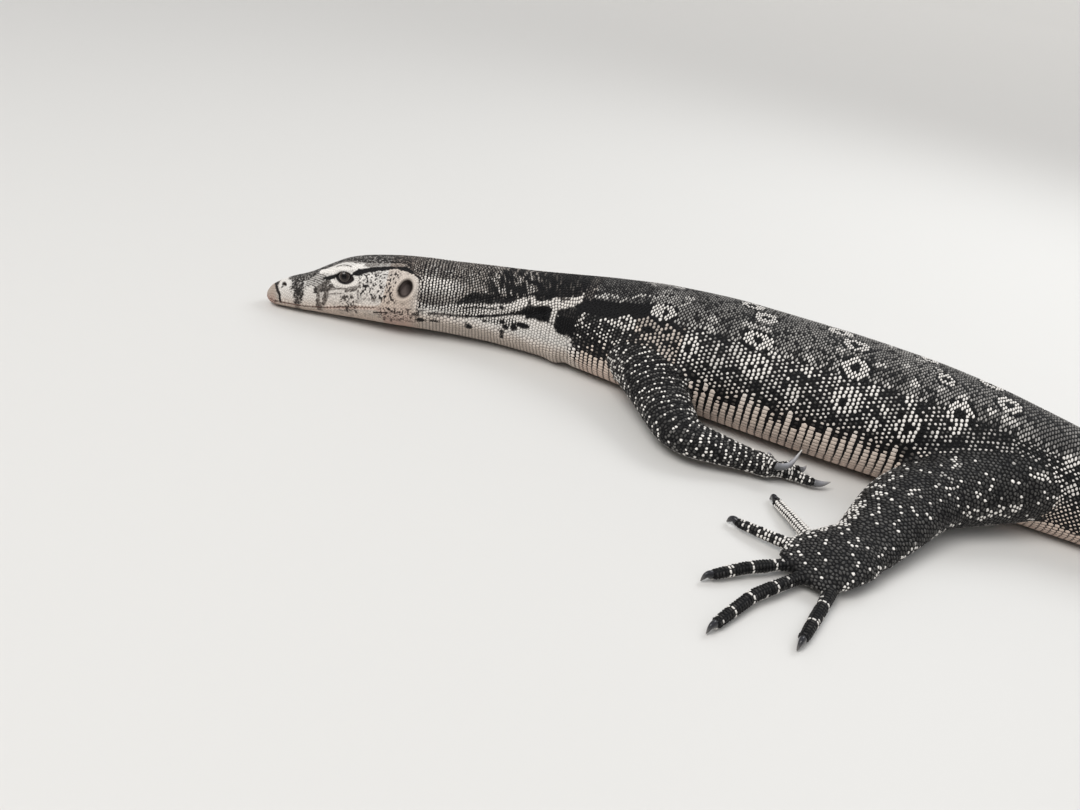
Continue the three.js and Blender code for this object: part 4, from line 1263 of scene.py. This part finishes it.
def stroke_distance(s, around, scale, points):
    """Distance in millimetres from a line through several points on the skin."""
    return np.min([from_segment(s, around, scale, *ends)[0] for ends in zip(points, points[1:])], 0)


def lay_marks(tone, s, around, marks, soft=0.02, rough=0.0):
    """Lays strokes, ovals and rings on a field of tones and returns how far they cover each place.

    Their edges are soft over a length in millimetres, and strokes can have rough edges.
    """
    covered = np.zeros(len(s))
    scale = millimetres_per_degree(s, around)
    ragged = 1 + rough * (mottle(s + 9, around * 0.4, 1.3) - 0.5)
    for place, *size, value in marks:
        if isinstance(place, list):
            inside = size[0] * ragged - stroke_distance(s, around, scale, place)
        else:
            far = np.hypot((s - place[0]) / size[0], (around - place[1]) / size[1])
            inside = (OVAL_EDGE - far) * size[0]
        if len(size) == 3:
            tone[far < RING_HALO] = HALO_TONE
            inside = np.minimum(far - size[2], RING_EDGE - far) * size[0]
        cover = np.clip(inside / soft + 0.5, 0, 1)
        tone += (value - tone) * cover
        covered = np.maximum(covered, cover)
    return covered


def mottle(x, y, size):
    """Smooth noise from 0 to 1 with blots of about the given size."""
    x, y = x / size, y / size
    i, j = np.floor(x).astype(int), np.floor(y).astype(int)
    u, v = smooth(0, 1, x - i), smooth(0, 1, y - j)
    i, j = i % len(BLOTS), j % len(BLOTS)
    k, m = (i + 1) % len(BLOTS), (j + 1) % len(BLOTS)
    return ((BLOTS[i, j] * (1 - u) + BLOTS[k, j] * u) * (1 - v)
            + (BLOTS[i, m] * (1 - u) + BLOTS[k, m] * u) * v)


# The upper borders of the white below the neck and of the black region on its side
WHITE_TOP = line([(105, 2), (120, 0), (140, 7), (160, 14), (178, 12), (183, 9), (218, 0)])
BLACK_EDGE = line([(130, 10), (140, 28), (160, 31), (172, 35), (182, 46), (190, 58), (212, 60), (222, 56)])


def bar_top(s):
    """The angle at which the bar of pale plates at s breaks up into beads."""
    return np.where(s < BREAK_START, -6, BELLY_TOP(s) + 1 - 13 * mottle(s, s * 0, 4.1))


def trunk_tones(s, around, chance):
    """Clouded speckles on the back, dark before the flank, and pale plates below."""
    cloud = mottle(s, around * 0.65, 13)
    bright = np.interp(around, [12, 30, 45, 56, 75, 90], [0.95, 0.9, 0.8, 0.6, 0.54, 0.48])
    tone = bright * (0.72 + 0.45 * cloud) * (0.8 + 0.35 * chance)
    dull = chance < np.interp(around, [15, 30, 45, 60], [0.08, 0.22, 0.3, 0.15]) + 0.25 * (cloud < 0.35)
    tone = np.where(dull, 0.1 + 0.5 * chance, tone)
    dots = np.where(chance < 0.34, 0.97, 0.02 + 0.36 * chance)
    tone = np.where((s < BREAK_START) & (around < 28), dots, tone)
    tone = np.where((s < BREAK_START) & (around >= 28), 0.14 + 0.3 * chance, tone)
    beads = (s > BREAK_START) & (around < BELLY_TOP(s) + 4)
    tone = np.where(beads, np.where(chance < 0.3, 0.12 + chance, 0.93), tone)
    return np.where(around < bar_top(s), 0.95, tone)


def neck_tones(s, around, chance):
    """Dots, then streaks, on the back of the neck; a pale side that turns black; white below."""
    lean = s + ROW_LEAN(s) * np.maximum(around - LEAN_FROM, 0)
    streak = mottle(lean, around * 0.2, 1.6)
    plain = 1 - smooth(140, 158, s)
    dots = 0.38 + 0.42 * chance
    back = dots * plain + (0.08 + 0.85 * smooth(0.4, 0.7, streak) * (0.6 + 0.5 * chance)) * (1 - plain)
    back = back * (1 - 0.55 * smooth(178, 190, s)) * np.interp(around, [60, 90], [1, 0.8])
    side = np.interp(around, [4, 14, 24, 34], [0.5, 0.72, 0.95, 0.95]) * (0.88 + 0.2 * chance)
    side = side * (1 - 0.3 * smooth(120, 140, s)) * (1 - 0.75 * smooth(140, 165, s))
    share = smooth(-3, 3, around - np.interp(s, [135, 150], [38, 30]))
    tone = side + (back - side) * share
    tone = np.where((around < BLACK_EDGE(s)) & (s > 130), np.minimum(tone, 0.04 + 0.24 * chance), tone)
    tone = np.where(around < WHITE_TOP(s), 0.9 - 0.06 * chance, tone)
    shoulder = (s > 203) & (around < 24) & (around > 3)
    return np.where(shoulder, np.where(chance < 0.25, 0.8, 0.05), tone)


def head_tones(s, z, around, chance):
    """Tones at places on the head, finer than its scales."""
    up = around * 0.4
    blot, fleck, grain = [mottle(s + far, up, size) for far, size in ((0, 1.7), (30, 0.85), (60, 0.6))]
    crown = smooth(-1.5, 1.5, around - CROWN_EDGE(s))
    tone = 0.88 - 0.14 * smooth(0.55, 0.9, blot) + 0.04 * chance
    lore = between(s, 26, 29, 39, 43) * smooth(9, 15, around)
    tone = tone - lore * (0.3 + 0.28 * np.sin((s + up) * 2 * math.pi / 2.3))
    tone += (0.13 + 0.4 * smooth(0.5, 0.8, fleck * 0.5 + grain * 0.5) - tone) * crown
    lay_marks(tone, s, around, HEAD_MARKS, 0.5, 0.9)
    above = 1 - smooth(26, 36, around - (s - 62) * 0.4)
    cheek = between(s, 62, 66, 88, 92) * smooth(-2, 3, around) * above
    jaw = smooth(76, 82, s) * between(around, -40, -32, -8, -3)
    lip = between(s, 51, 54, 62, 66) * between(around, -38, -30, 0, 4)
    dark = smooth(0.54, 0.64, fleck + 0.03 * lip)
    tone -= (tone - 0.14) * dark * np.clip(cheek + 0.8 * jaw + 0.8 * lip, 0, 1) * (tone > 0.6)
    snout = (1 - smooth(8, 14, np.abs(s - 24))) * (tone < 0.4)
    tone += (0.14 + 0.55 * smooth(0.52, 0.8, grain * 0.6 + fleck * 0.4) - tone) * 0.7 * snout
    tone += 0.7 * (grain - 0.5) * bump(tone, 0.42, 0.2)
    for spot, start, end, value in ((EAR, 0.1, 2.1, 0.92), (NOSTRIL, 0.1, 1.8, 0.9), (EYE, -1, 0.85, 0.03)):
        off = opening_distance(s, z, spot)
        inside = between(off, start - 0.2, start + 0.1, end - 0.25, end + 0.25)
        tone += (value - tone) * inside * (np.abs(s - spot["s"]) < spot["long"] + 4)
    speck = np.hypot(s - SNOUT_SPECK[0], (around - SNOUT_SPECK[1]) * 0.2)
    return tone - (tone - 0.2) * (1 - smooth(0.5, 0.9, speck))


def front_tones(s, z, around, chance):
    """Tones of the head and neck at places finer than their scales, and how far marks cover them."""
    neck = neck_tones(s, around, chance)
    marked = lay_marks(neck, s, around, NECK_MARKS, 0.5, 0.5)
    head = head_tones(s, z, around, chance)
    share = smooth(-1.2, 1.2, s - HEAD_LIMIT(around) + 1.5 * mottle(s, around * 0.4, 2) - 0.75)
    return head + (neck - head) * share, marked * share


def body_tones(s, z, degrees):
    """Tones of scales on the body, which of them are part of a mark, and the chance drawn for each."""
    around = mirrored(degrees)
    right = np.abs(degrees) > 90
    chance = RANDOM.random(len(s))
    s = s + np.where(right & (s > 230) & (s < 540), RIGHT_SHIFT, 0)
    tone = trunk_tones(s, around, chance)
    marked = lay_marks(tone, s, around, TRUNK_MARKS)
    front = s <= NECK_END
    tone[front], marked[front] = front_tones(s[front], z[front], around[front], chance[front])
    return np.clip(tail_tones(tone, s, around, chance), 0, 1), marked > 0.5, chance


TAIL_BANDS = 17.2


def tail_tones(tone, s, around, chance):
    """Pale bands in pairs on a dark tail, pale underneath."""
    turn = np.interp(s, [TAIL_START, TOTAL_LENGTH], [0, TAIL_BANDS])
    turn = turn + 0.5 * smooth(TAIL_START, 700, s)
    near = np.abs(turn - np.round(turn))
    band = near < 0.17
    slit = near < 0.05
    dotted = (np.abs(near - 0.34) < 0.05) & (chance < 0.5)
    side = np.where(around > 75, 0.5, 0.85)
    banded = np.where(band & (chance < side), 0.85, 0.1 + 0.14 * chance)
    banded = np.where(slit & (chance < 0.7), 0.1, banded)
    banded = np.where(dotted, 0.75, banded)
    under = around < np.interp(s, [TAIL_START, 640, TOTAL_LENGTH], [0, -38, -55])
    banded = np.where(under & ~(band & slit), 0.78 - 0.3 * (near > 0.3), banded)
    return np.where(s > TAIL_START, banded, tone)


# Shares along each digit where a row of plates is white, and how white some digits are all over
TOE_BARS = {"hind": (0.3, 0.56, 0.8), "fore": (0.45, 0.75)}
PALE_DIGITS = {("hind", 1): 0.9, ("hind", 2): 0.55, ("fore", 1): 0.55, ("fore", 2): 0.5}
# How common white scales are round the foot, by the angle either way
FOOT_DOTS = line([(0, 0.4), (15, 0.12), (70, 0.08), (110, 0.12), (135, 0.4), (155, 0.8), (180, 0.85)])
HAND_DOTS = 0.4


def limb_tones(kind, share, degrees, u, odd, chance):
    """Dots in every other row of an arm, and single dots, clusters and pale edges on a leg."""
    if kind == "fore":
        bright = 0.26 + 0.3 * mottle(u, degrees * 0.35, 6) + 0.15 * (share > 0.75)
        tone = np.where(odd < 0.5, np.where(chance < bright, 0.97, 0.5 * chance), 0.04 + 0.2 * chance)
        front = (np.abs(degrees) > 150) & (share < 0.3)
        return np.where(front & (chance < 0.35), 0.9, tone)
    cloud = mottle(u, degrees * 0.3, 5)
    tone = np.where(chance < 0.09, 0.97, 0.17 + 0.16 * chance)
    cluster = mottle(u + 50, degrees * 0.3, 4.2)
    tone = np.where((cluster > 0.84) & (chance < 0.85), 0.96, tone) * np.where(cloud < 0.3, 0.7, 1)
    edge = ((np.abs(degrees) > 150) | (np.abs(degrees) < 12)) & (share > 0.3)
    tone = np.where(edge & (chance < 0.4), 0.92, tone)
    ankle = (np.abs(degrees) > 125) & (share > 0.84)
    return np.where(ankle & (chance < 0.75), 0.94, tone)


def palm_tones(kind, degrees, chance):
    common = HAND_DOTS if kind == "fore" else FOOT_DOTS(np.abs(degrees))
    return np.where(chance < common, 0.96, 0.14 + 0.2 * chance)


def digit_tones(kind, number, length, u, degrees, chance):
    tone = np.where(chance < 0.04, 0.8, 0.08 + 0.14 * chance)
    for place in TOE_BARS[kind]:
        tone = np.where(np.abs(u - place * length) < DIGIT_ROWS[0] * 0.6, 0.95, tone)
    blots = mottle(u * 1.7, degrees * 0.02 + number * 7, 2)
    pale = (blots < PALE_DIGITS.get((kind, number), 0)) & (u < length - 2)
    return np.where(pale, 0.94, tone)


def tube_tones(name, share, degrees, u, odd):
    """Tones of scales on a limb, palm or digit."""
    chance = RANDOM.random(len(share))
    kind = "fore" if "fore" in name else "hind"
    if name.startswith("limb"):
        tone = limb_tones(kind, share, degrees, u, odd, chance)
    elif name.startswith("palm"):
        tone = palm_tones(kind, degrees, chance)
    else:
        tone = digit_tones(kind, int(name[-1]), u / share, u, degrees, chance)
    under = (degrees < -45) & (degrees > -135)
    return np.where(under, 0.6 + 0.3 * chance, tone)


def paleness(tube, s, degrees, tone):
    """How far white turns to cream at 1 and to pink at 2."""
    around = mirrored(degrees)
    trunk = np.interp(around, [-90, -30, 0, 16], [1.4, 1.25, 0.9, 0.15])
    head = np.interp(around, [-90, -45, -20, 0, 30], [0.9, 1.1, 0.8, 0.4, 0.1])
    head = head + 0.9 * (1 - smooth(5, 11, s)) + 0.5 * (1 - smooth(0.4, 0.75, tone))
    gape = np.abs(around - mouth_angle(s)) * (1 - smooth(76, 84, s)) + 99 * (s < 42)
    head = head + 0.6 * (1 - smooth(3, 6, gape))
    neck = np.interp(around, [-90, -20, -5, 40, 90], [0.9, 0.8, 0.15, 0.25, 0.4]) + 0.3 * (tone < 0.7)
    warm = head + (neck - head) * smooth(96, 110, s)
    warm = np.where(s < 225, warm, trunk)
    warm = np.where((s > 258) & (s < 292) & (around < 45), warm + 0.6, warm)
    return np.where(tube == 0, warm, 0.12)


def shade(tone, warm):
    """Colours from black to white, which turns to cream and pink as it gets warmer."""
    warm = warm[..., None]
    pale = WHITE + (CREAM - WHITE) * np.clip(warm, 0, 1) + (PINK - CREAM) * np.clip(warm - 1, 0, 1)
    return BLACK + (pale - BLACK) * np.clip(tone, 0, 1)[..., None] ** 2


# How a scale fills its cell: its share of it along and across, tone left at its shoulder, at its
# rim beside it, at its rim before and behind it and on the skin round it, and how much wider
# than long its cell is
STYLES = {
    "head": (1, 1, 1, 0.93, 0.93, 0.93, 1),
    "throat": (0.97, 1, 1, 0.95, 0.72, 0.72, 1),
    "neck": (0.74, 1.03, 1, 0.9, 0.4, 0.04, 1.1),
    "patch": (0.88, 1.02, 1, 0.95, 0.7, 0.4, 1),
    "back": (0.8, 0.93, 0.92, 0.3, 0.08, 0.08, 1.6),
    "ring": (0.8, 1, 1, 0.8, 0.2, 0.1, 1.5),
    "flank": (0.58, 0.7, 0.97, 0.5, 0.4, 0.06, 0.77),
    "mark": (0.66, 1.04, 1, 0.9, 0.5, 0.05, 0.77),
    "side": (0.74, 1.06, 1, 0.97, 0.85, 0.05, 0.53),
    "belly": (0.95, 1.02, 1, 0.97, 0.7, 0.5, 0.53),
    "tail": (0.88, 0.95, 0.95, 0.5, 0.15, 0.15, 1.3),
    "under": (0.94, 1.02, 1, 0.95, 0.6, 0.5, 0.83),
    "limb": (0.88, 0.93, 0.9, 0.3, 0.1, 0.1, 1.15),
    "bead": (0.8, 0.8, 1, 0.6, 0.3, 0.12, 1.1),
    "toe": (0.93, 1.02, 1, 0.95, 0.12, 0.12, 1.8),
}
PLATE_STYLES = ("side", "belly", "under", "toe")
# Scales of marks and plates are paler than this tone
PALE = 0.6


def choose_styles(rows, tone, marked):
    """The style of each scale as an array of the values above, and the turns of its corners."""
    tube, s, around = rows[:, 0], rows[:, 1], mirrored(rows[:, 2])
    body, front, tail = tube == 0, s < NECK_END, s > TAIL_START
    kinds = np.array(["", *[t.name.split("_")[0] for t in TUBES]])[tube.astype(int)]
    pale = tone > PALE
    spot = marked & pale
    tests = [
        ("toe", kinds == "digit"), ("bead", ~body & pale), ("limb", ~body),
        ("head", s < HEAD_LIMIT(around)), ("throat", front & (around < np.where(s < 175, -4, 12)) & pale),
        ("patch", front & (s > 150) & spot), ("neck", front & (around < 42)), ("back", front),
        ("under", tail & (around < -38)), ("tail", tail), ("belly", around < -24),
        ("side", around < bar_top(s)), ("mark", spot & (around < 47)), ("ring", spot),
        ("flank", around < 47), ("back", body),
    ]
    choice = np.select([test for _, test in tests], np.arange(len(tests)))
    values = np.array([STYLES[name] for name, _ in tests], float)[choice]
    names = np.array([name for name, _ in tests])[choice]
    side = names == "side"
    shorter = np.interp(around[side], [-24, -6, 15], [0.9, 0.76, 0.6])
    values[side, 0] = shorter + 0.14 * mottle(s[side], s[side] * 0, 21)
    plates = np.isin(names, PLATE_STYLES)
    return values, np.where(plates[:, None], PLATE_TURNS, EVEN_TURNS)


def paint_scales(rows, points):
    """Tones of all scales, which of them belong to marks, and the chance drawn for each."""
    tone, chance = np.empty(len(rows)), np.full(len(rows), 0.5)
    marked = np.zeros(len(rows), bool)
    body = rows[:, 0] == 0
    z = locate(points[body])[2]
    tone[body], marked[body], chance[body] = body_tones(rows[body, 1], z, rows[body, 2])
    for number, tube in enumerate(TUBES, 1):
        mine = rows[:, 0] == number
        u, degrees, odd = rows[mine, 1], rows[mine, 2], rows[mine, 4]
        tone[mine] = tube_tones(tube.name, u / tube.path.length, degrees, u, odd)
    return tone, marked, chance


def scale_height(rows, tone):
    """Heights of scales and how far their hind edges stand up."""
    around = mirrored(rows[:, 2])
    plate = (rows[:, 0] == 0) & ((around < np.where(rows[:, 1] < 298, 5, 15)) | (rows[:, 1] < HEAD_END))
    height = rows[:, 3] * np.where(plate, np.where(rows[:, 1] > NECK_END, 0.045, 0.085), 0.15)
    height = np.clip(height * np.where(tone > 0.5, 1.15, 1), 0.1, COAT_DEPTH - 0.02)
    return height, np.where(plate, 0.015, 0.05) * rows[:, 3]


PIECE_SCALES = 7000


def body_pieces(rows):
    """Names and row numbers of the pieces along the body, none with too many scales."""
    s = rows[:, 1]
    body = rows[:, 0] == 0
    ends = (-1, HEAD_END, NECK_END, TAIL_START, math.inf)
    for name, start, end in zip(("head", "neck", "trunk", "tail"), ends, ends[1:]):
        mine = np.nonzero(body & (s > start) & (s <= end))[0]
        mine = mine[np.argsort(s[mine], kind="stable")]
        parts = math.ceil(len(mine) / PIECE_SCALES)
        for i, part in enumerate(np.array_split(mine, parts), 1):
            yield (f"scales_{name}_{i}" if parts > 1 else f"scales_{name}"), part


def limb_pieces(rows):
    for limb in LIMBS:
        kind, side = limb.split("_")
        words = ("arm", "hand") if kind == "fore" else ("leg", "foot")
        leg = [n for n, t in enumerate(TUBES, 1) if t.name == f"limb_{limb}"]
        rest = [n for n, t in enumerate(TUBES, 1) if t.name != f"limb_{limb}" and limb in t.name]
        for word, numbers in zip(words, (leg, rest)):
            yield f"scales_{word}_{side}", np.nonzero(np.isin(rows[:, 0], numbers))[0]


def patch_spots(rows):
    """Places on the unwrap: distance along it across, angle round it upwards, a band for each tube."""
    across = (rows[:, 1] - rows[:, 1].min()) / max(np.ptp(rows[:, 1]), 1)
    up = (rows[:, 2] + 180) / 360
    tubes, band = np.unique(rows[:, 0], return_inverse=True)
    up = (band + up) / len(tubes)
    return np.stack([across, up], 1) * 0.98 + 0.01


def build_scales(rows, points, normals, material):
    """Makes all pieces of scales and returns what the skin between them needs for its colours."""
    tone, marked, chance = paint_scales(rows, points)
    styles, turns = choose_styles(rows, tone, marked)
    along, across, core, beside, before, gap, squash = styles.T
    warm = paleness(rows[:, 0], rows[:, 1], rows[:, 2], tone)
    height, lean = scale_height(rows, tone)
    frames = cell_outlines(points, normals, directions(rows), rows[:, 3], squash, along, across, turns)
    ways = np.cos(frames["turn"]) ** 2
    rim = before[:, None] * ways + beside[:, None] * (1 - ways)
    kept = np.concatenate([np.ones((len(rows), 1)), np.repeat(core[:, None], SIDES, 1), rim], 1)
    count = kept.shape[1]
    for pieces in (body_pieces(rows), limb_pieces(rows)):
        for name, mine in pieces:
            local = {key: value[mine] for key, value in frames.items()}
            corners, faces = scale_meshes(points[mine], local, height[mine], lean[mine])
            piece = fast_mesh(name, corners, faces)
            tones, warms = np.repeat(tone[mine], count), np.repeat(warm[mine], count)
            if name.startswith(("scales_head", "scales_neck")):
                tones, warms = front_places(corners, np.repeat(chance[mine], count))
            set_tone(piece.data, shade(tones * kept[mine].ravel(), warms))
            set_patches(piece.data, faces, patch_spots(rows[mine]), turns[mine], frames["reach"][mine])
            piece.data.materials.append(material)
            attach(piece, "root")
    return {"tone": tone, "gap": gap, "warm": warm}


def front_places(points, chance):
    """Tone and warmth at each of the points, on the head and neck."""
    s, _, z, degrees = locate(points)
    tone = np.clip(front_tones(s, z, mirrored(degrees), chance)[0], 0, 1)
    return tone, paleness(np.zeros(len(s)), s, degrees, tone)


# How much of its tone the skin between scales keeps
GAP_SHADE = 0.9
# Painted shade inside the ear, the socket behind the eye and the nostril
PAINTED_HOLE_SHADE = np.array([0.02, 0.014, 0.013])
# The ear's drum: its own grey-brown, darkened by painted shade of its recess
DRUM_WITH_PAINTED_SHADE = np.array([0.15, 0.12, 0.11])
LIP_LINE = np.array([0.24, 0.11, 0.09])


def paint_skin(skin, points, coat):
    """Skin takes the tone that the nearest scale leaves round it; openings get painted shade, with the ear's
    drum lighter at its lower front.
    """
    tree = tree_of(points)
    skin_points = points_of(skin.data)
    owner = np.array([tree.find(p)[1] for p in skin_points])
    colours = shade(coat["tone"][owner] * coat["gap"][owner] * GAP_SHADE, coat["warm"][owner])
    near = np.nonzero(skin_points[:, 0] < SPINE[OPENINGS_END, 0])[0]
    s, side, z, degrees = locate(skin_points[near])
    plates = s < HEAD_LIMIT(mirrored(degrees))
    tone, warm = front_places(skin_points[near[plates]], 0.5)
    colours[near[plates]] = shade(tone * GAP_SHADE, warm)
    # Painted shade fills each opening: the ear's walls, the socket behind the eye and the nostril
    for spot, rim in ((EAR, 1.2), (EYE, 0.2), (NOSTRIL, 0.3)):
        off = opening_distance(s, z, spot)
        there = (s < OPENINGS_END) & (np.abs(side) > spot["side"] * 0.3)
        dark = (smooth(-0.3, rim, -off) * there)[:, None]
        colours[near] += (PAINTED_HOLE_SHADE - colours[near]) * dark
    # The drum keeps its colour at the ear's lower front; painted shade stays towards its upper back
    ear = opening_distance(s, z, EAR)
    ahead = (EAR["s"] - s) / EAR["long"] + (EAR["z"] - z) / EAR["high"] * 0.5
    there = (s < OPENINGS_END) & (np.abs(side) > EAR["side"] * 0.3)
    drum_out_of_shade = smooth(0.6, 2.6, -ear) * smooth(-0.7, 0.5, ahead) * there
    colours[near] += (DRUM_WITH_PAINTED_SHADE - colours[near]) * drum_out_of_shade[:, None]
    off_line = np.abs(mirrored(degrees) - mouth_angle(s)) * millimetres_per_degree(s, mouth_angle(s))
    colours[near[(s < MOUTH_CORNER) & (off_line < 0.4)]] = LIP_LINE
    set_tone(skin.data, colours)


SHINE = 0.15
BUMP_DEPTH = 0.0002


def toned_material(name, roughness, grain, bump_scale, bump_strength, coat=0.0):
    """The piece's tones, varied by noise, under a fine bump."""
    values = {"Roughness": roughness, "Coat Weight": coat, "Specular IOR Level": SHINE}
    material, nodes, links, shader = new_material(name, values)
    tone = nodes.new("ShaderNodeAttribute")
    tone.attribute_name = "tone"
    noise = set_inputs(nodes.new("ShaderNodeTexNoise"), {"Scale": grain, "Detail": 4})
    spread_tone = nodes.new("ShaderNodeMapRange")
    set_inputs(spread_tone, {"From Min": 0.3, "From Max": 0.7, "To Min": 0.8, "To Max": 1.15})
    links.new(noise.outputs["Fac"], spread_tone.inputs["Value"])
    scale = nodes.new("ShaderNodeVectorMath")
    scale.operation = "SCALE"
    links.new(tone.outputs["Color"], scale.inputs[0])
    links.new(spread_tone.outputs["Result"], scale.inputs["Scale"])
    links.new(scale.outputs["Vector"], shader.inputs["Base Color"])
    fine = set_inputs(nodes.new("ShaderNodeTexNoise"), {"Scale": bump_scale, "Detail": 3})
    bumps = set_inputs(nodes.new("ShaderNodeBump"), {"Strength": bump_strength, "Distance": BUMP_DEPTH})
    links.new(fine.outputs["Fac"], bumps.inputs["Height"])
    links.new(bumps.outputs["Normal"], shader.inputs["Normal"])
    return material


# The eye from its axis outwards: angle, bulge in millimetres, colour
EYE_RINGS = [
    (0, 0.25, (0.002, 0.002, 0.002)), (10, 0.24, (0.002, 0.002, 0.002)), (16, 0.2, (0.002, 0.002, 0.002)),
    (17.4, 0.19, (0.05, 0.036, 0.028)), (21, 0.16, (0.026, 0.02, 0.016)), (25, 0.12, (0.04, 0.033, 0.029)),
    (28.5, 0.08, (0.13, 0.115, 0.1)), (31, 0.05, (0.09, 0.08, 0.072)), (33, 0.03, (0.005, 0.005, 0.005)),
    *[(angle, 0, (0.006, 0.005, 0.005)) for angle in (39, 52, 65, 90, 120, 180)],
]
EYE_SIDES = 40
# How far the eyes look ahead, out and up
GAZE = (0.06, 1, 0.12)


def build_eye(side, sign, material):
    """A ball with a pupil and an iris about the way it looks."""
    centre = eye_point(sign)
    ways = [eye_point(sign, s=-1) - centre, eye_point(sign, side=1) - centre, eye_point(sign, z=1) - centre]
    axis = ways[0] * GAZE[0] + ways[1] * GAZE[1] + ways[2] * GAZE[2]
    axis /= np.linalg.norm(axis)
    level = np.cross(axis, [0, 0, 1.0])
    level /= np.linalg.norm(level)
    rise = np.cross(level, axis)
    turn = np.arange(EYE_SIDES) * 2 * math.pi / EYE_SIDES
    rings, colours = [], []
    for angle, bulge, colour in EYE_RINGS:
        a = math.radians(min(max(angle, 0.5), 179.5))
        radius = EYE["radius"] - 0.05 + bulge
        way = level * np.cos(turn)[:, None] + rise * np.sin(turn)[:, None]
        rings.append(centre + radius * (axis * math.cos(a) + way * math.sin(a)))
        colours.append(np.tile(colour, (EYE_SIDES, 1)))
    points, faces = loft(np.array(rings))
    eye = mesh_object(f"eyeball_{side}", points, faces)
    face_outwards(eye.data)
    smooth_faces(eye.data)
    set_tone(eye.data, np.vstack([*colours, EYE_RINGS[0][2], EYE_RINGS[-1][2]]))
    eye.data.materials.append(material)
    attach(eye, "root")
    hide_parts(f"eye_{side}")


# Widths and heights at shares of a claw's length, and colours from its root to its tip
CLAW_GIRTHS = [(0, 0.78, 1), (0.45, 0.55, 0.8), (0.8, 0.3, 0.46), (1, 0.14, 0.18)]
CLAW_SIDES, CLAW_RINGS = 16, 20
CLAW_TONES = {
    "fore": [
        (0, 0.1, 0.1, 0.105), (0.3, 0.2, 0.2, 0.215), (0.8, 0.3, 0.295, 0.3), (1, 0.45, 0.43, 0.4),
    ],
    "hind": [(0, 0.012, 0.012, 0.014), (0.5, 0.02, 0.02, 0.023), (1, 0.1, 0.095, 0.09)],
}


def build_claw(limb, number, joints, base, material):
    """A curved horn cone from the end of a digit, with a blunt root and a round tip, and a painted highlight
    on top and painted shade underneath.
    """
    path = Path(joints[:3], DIGIT_BEND)
    _, start, _, _ = path.frame(path.length)
    root = np.array(joints[2], float) + start * FLOOR_GAP
    bend, tip = [np.array(joint, float) for joint in joints[3:]]
    shorter = min(np.linalg.norm(bend - root), np.linalg.norm(tip - bend))
    claw = Path([root, bend, tip], CLAW_BEND * shorter)
    girth = table(CLAW_GIRTHS)
    turn = np.arange(CLAW_SIDES) * 2 * math.pi / CLAW_SIDES
    rings, colours = [], []
    places, *tones = zip(*CLAW_TONES[limb.split("_")[0]])
    for share in np.linspace(0, 1, CLAW_RINGS):
        centre, _, level, rise = claw.frame(share * claw.length)
        width, height = girth(share) * base / 2 * 0.97
        if share == 0:
            level = np.cross([0, 0, 1.0], start)
            level /= np.linalg.norm(level)
            rise = np.cross(start, level)
        keel = 1 - 0.18 * np.clip(-np.sin(turn), 0, 1)
        ring = centre + level * (width * np.cos(turn) * keel)[:, None]
        ring = ring + rise * (height * np.sin(turn))[:, None]
        ring[:, 2] = np.maximum(ring[:, 2], 0.05)
        rings.append(ring)
        tone = np.array([np.interp(share, places, values) for values in tones])
        # Painted highlight on the claw's top and painted shade underneath
        colours.append(tone[None] * (1 + 0.5 * np.sin(turn))[:, None])
    points, faces = loft(np.array(rings))
    name = f"claw_{limb}_{number}"
    obj = mesh_object(f"horn_{limb}_{number}", points, faces)
    face_outwards(obj.data)
    smooth_faces(obj.data)
    set_tone(obj.data, np.clip(np.vstack([*colours, colours[0].mean(0), colours[-1].mean(0)]), 0, 1))
    obj.data.materials.append(material)
    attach(obj, "root")
    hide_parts(name)


FLESH = [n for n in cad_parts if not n.startswith(("eye", "claw"))]
scale_material = toned_material("scales", 0.46, 900, 9000, 0.25)
skin_material = toned_material("skin", 0.55, 700, 3000, 0.6)
eye_material = toned_material("eye", 0.05, 2200, 4000, 0.02, 0.3)
claw_material = toned_material("claw", 0.22, 500, 2500, 0.15, 0.4)

set_camera()
build_studio()
skin = build_rough_skin()
refine(skin, NECK_FINE)
refine(skin, HEAD_FINE)
shape_head_and_neck(skin)
smooth_faces(skin.data)
seed_rows, seed_points, seed_normals = place_seeds(skin)
coat = build_scales(seed_rows, seed_points, seed_normals, scale_material)
paint_skin(skin, seed_points, coat)
skin.data.materials.append(skin_material)
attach(skin, "root")
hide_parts(*FLESH)
for eye_side, eye_sign in (("left", 1), ("right", -1)):
    build_eye(eye_side, eye_sign, eye_material)
for hand_name, hand in HANDS.items():
    for claw_number, digit_joints in enumerate(hand["digits"], 1):
        build_claw(hand_name, claw_number, digit_joints, hand["tip"] * CLAW_SHARE, claw_material)
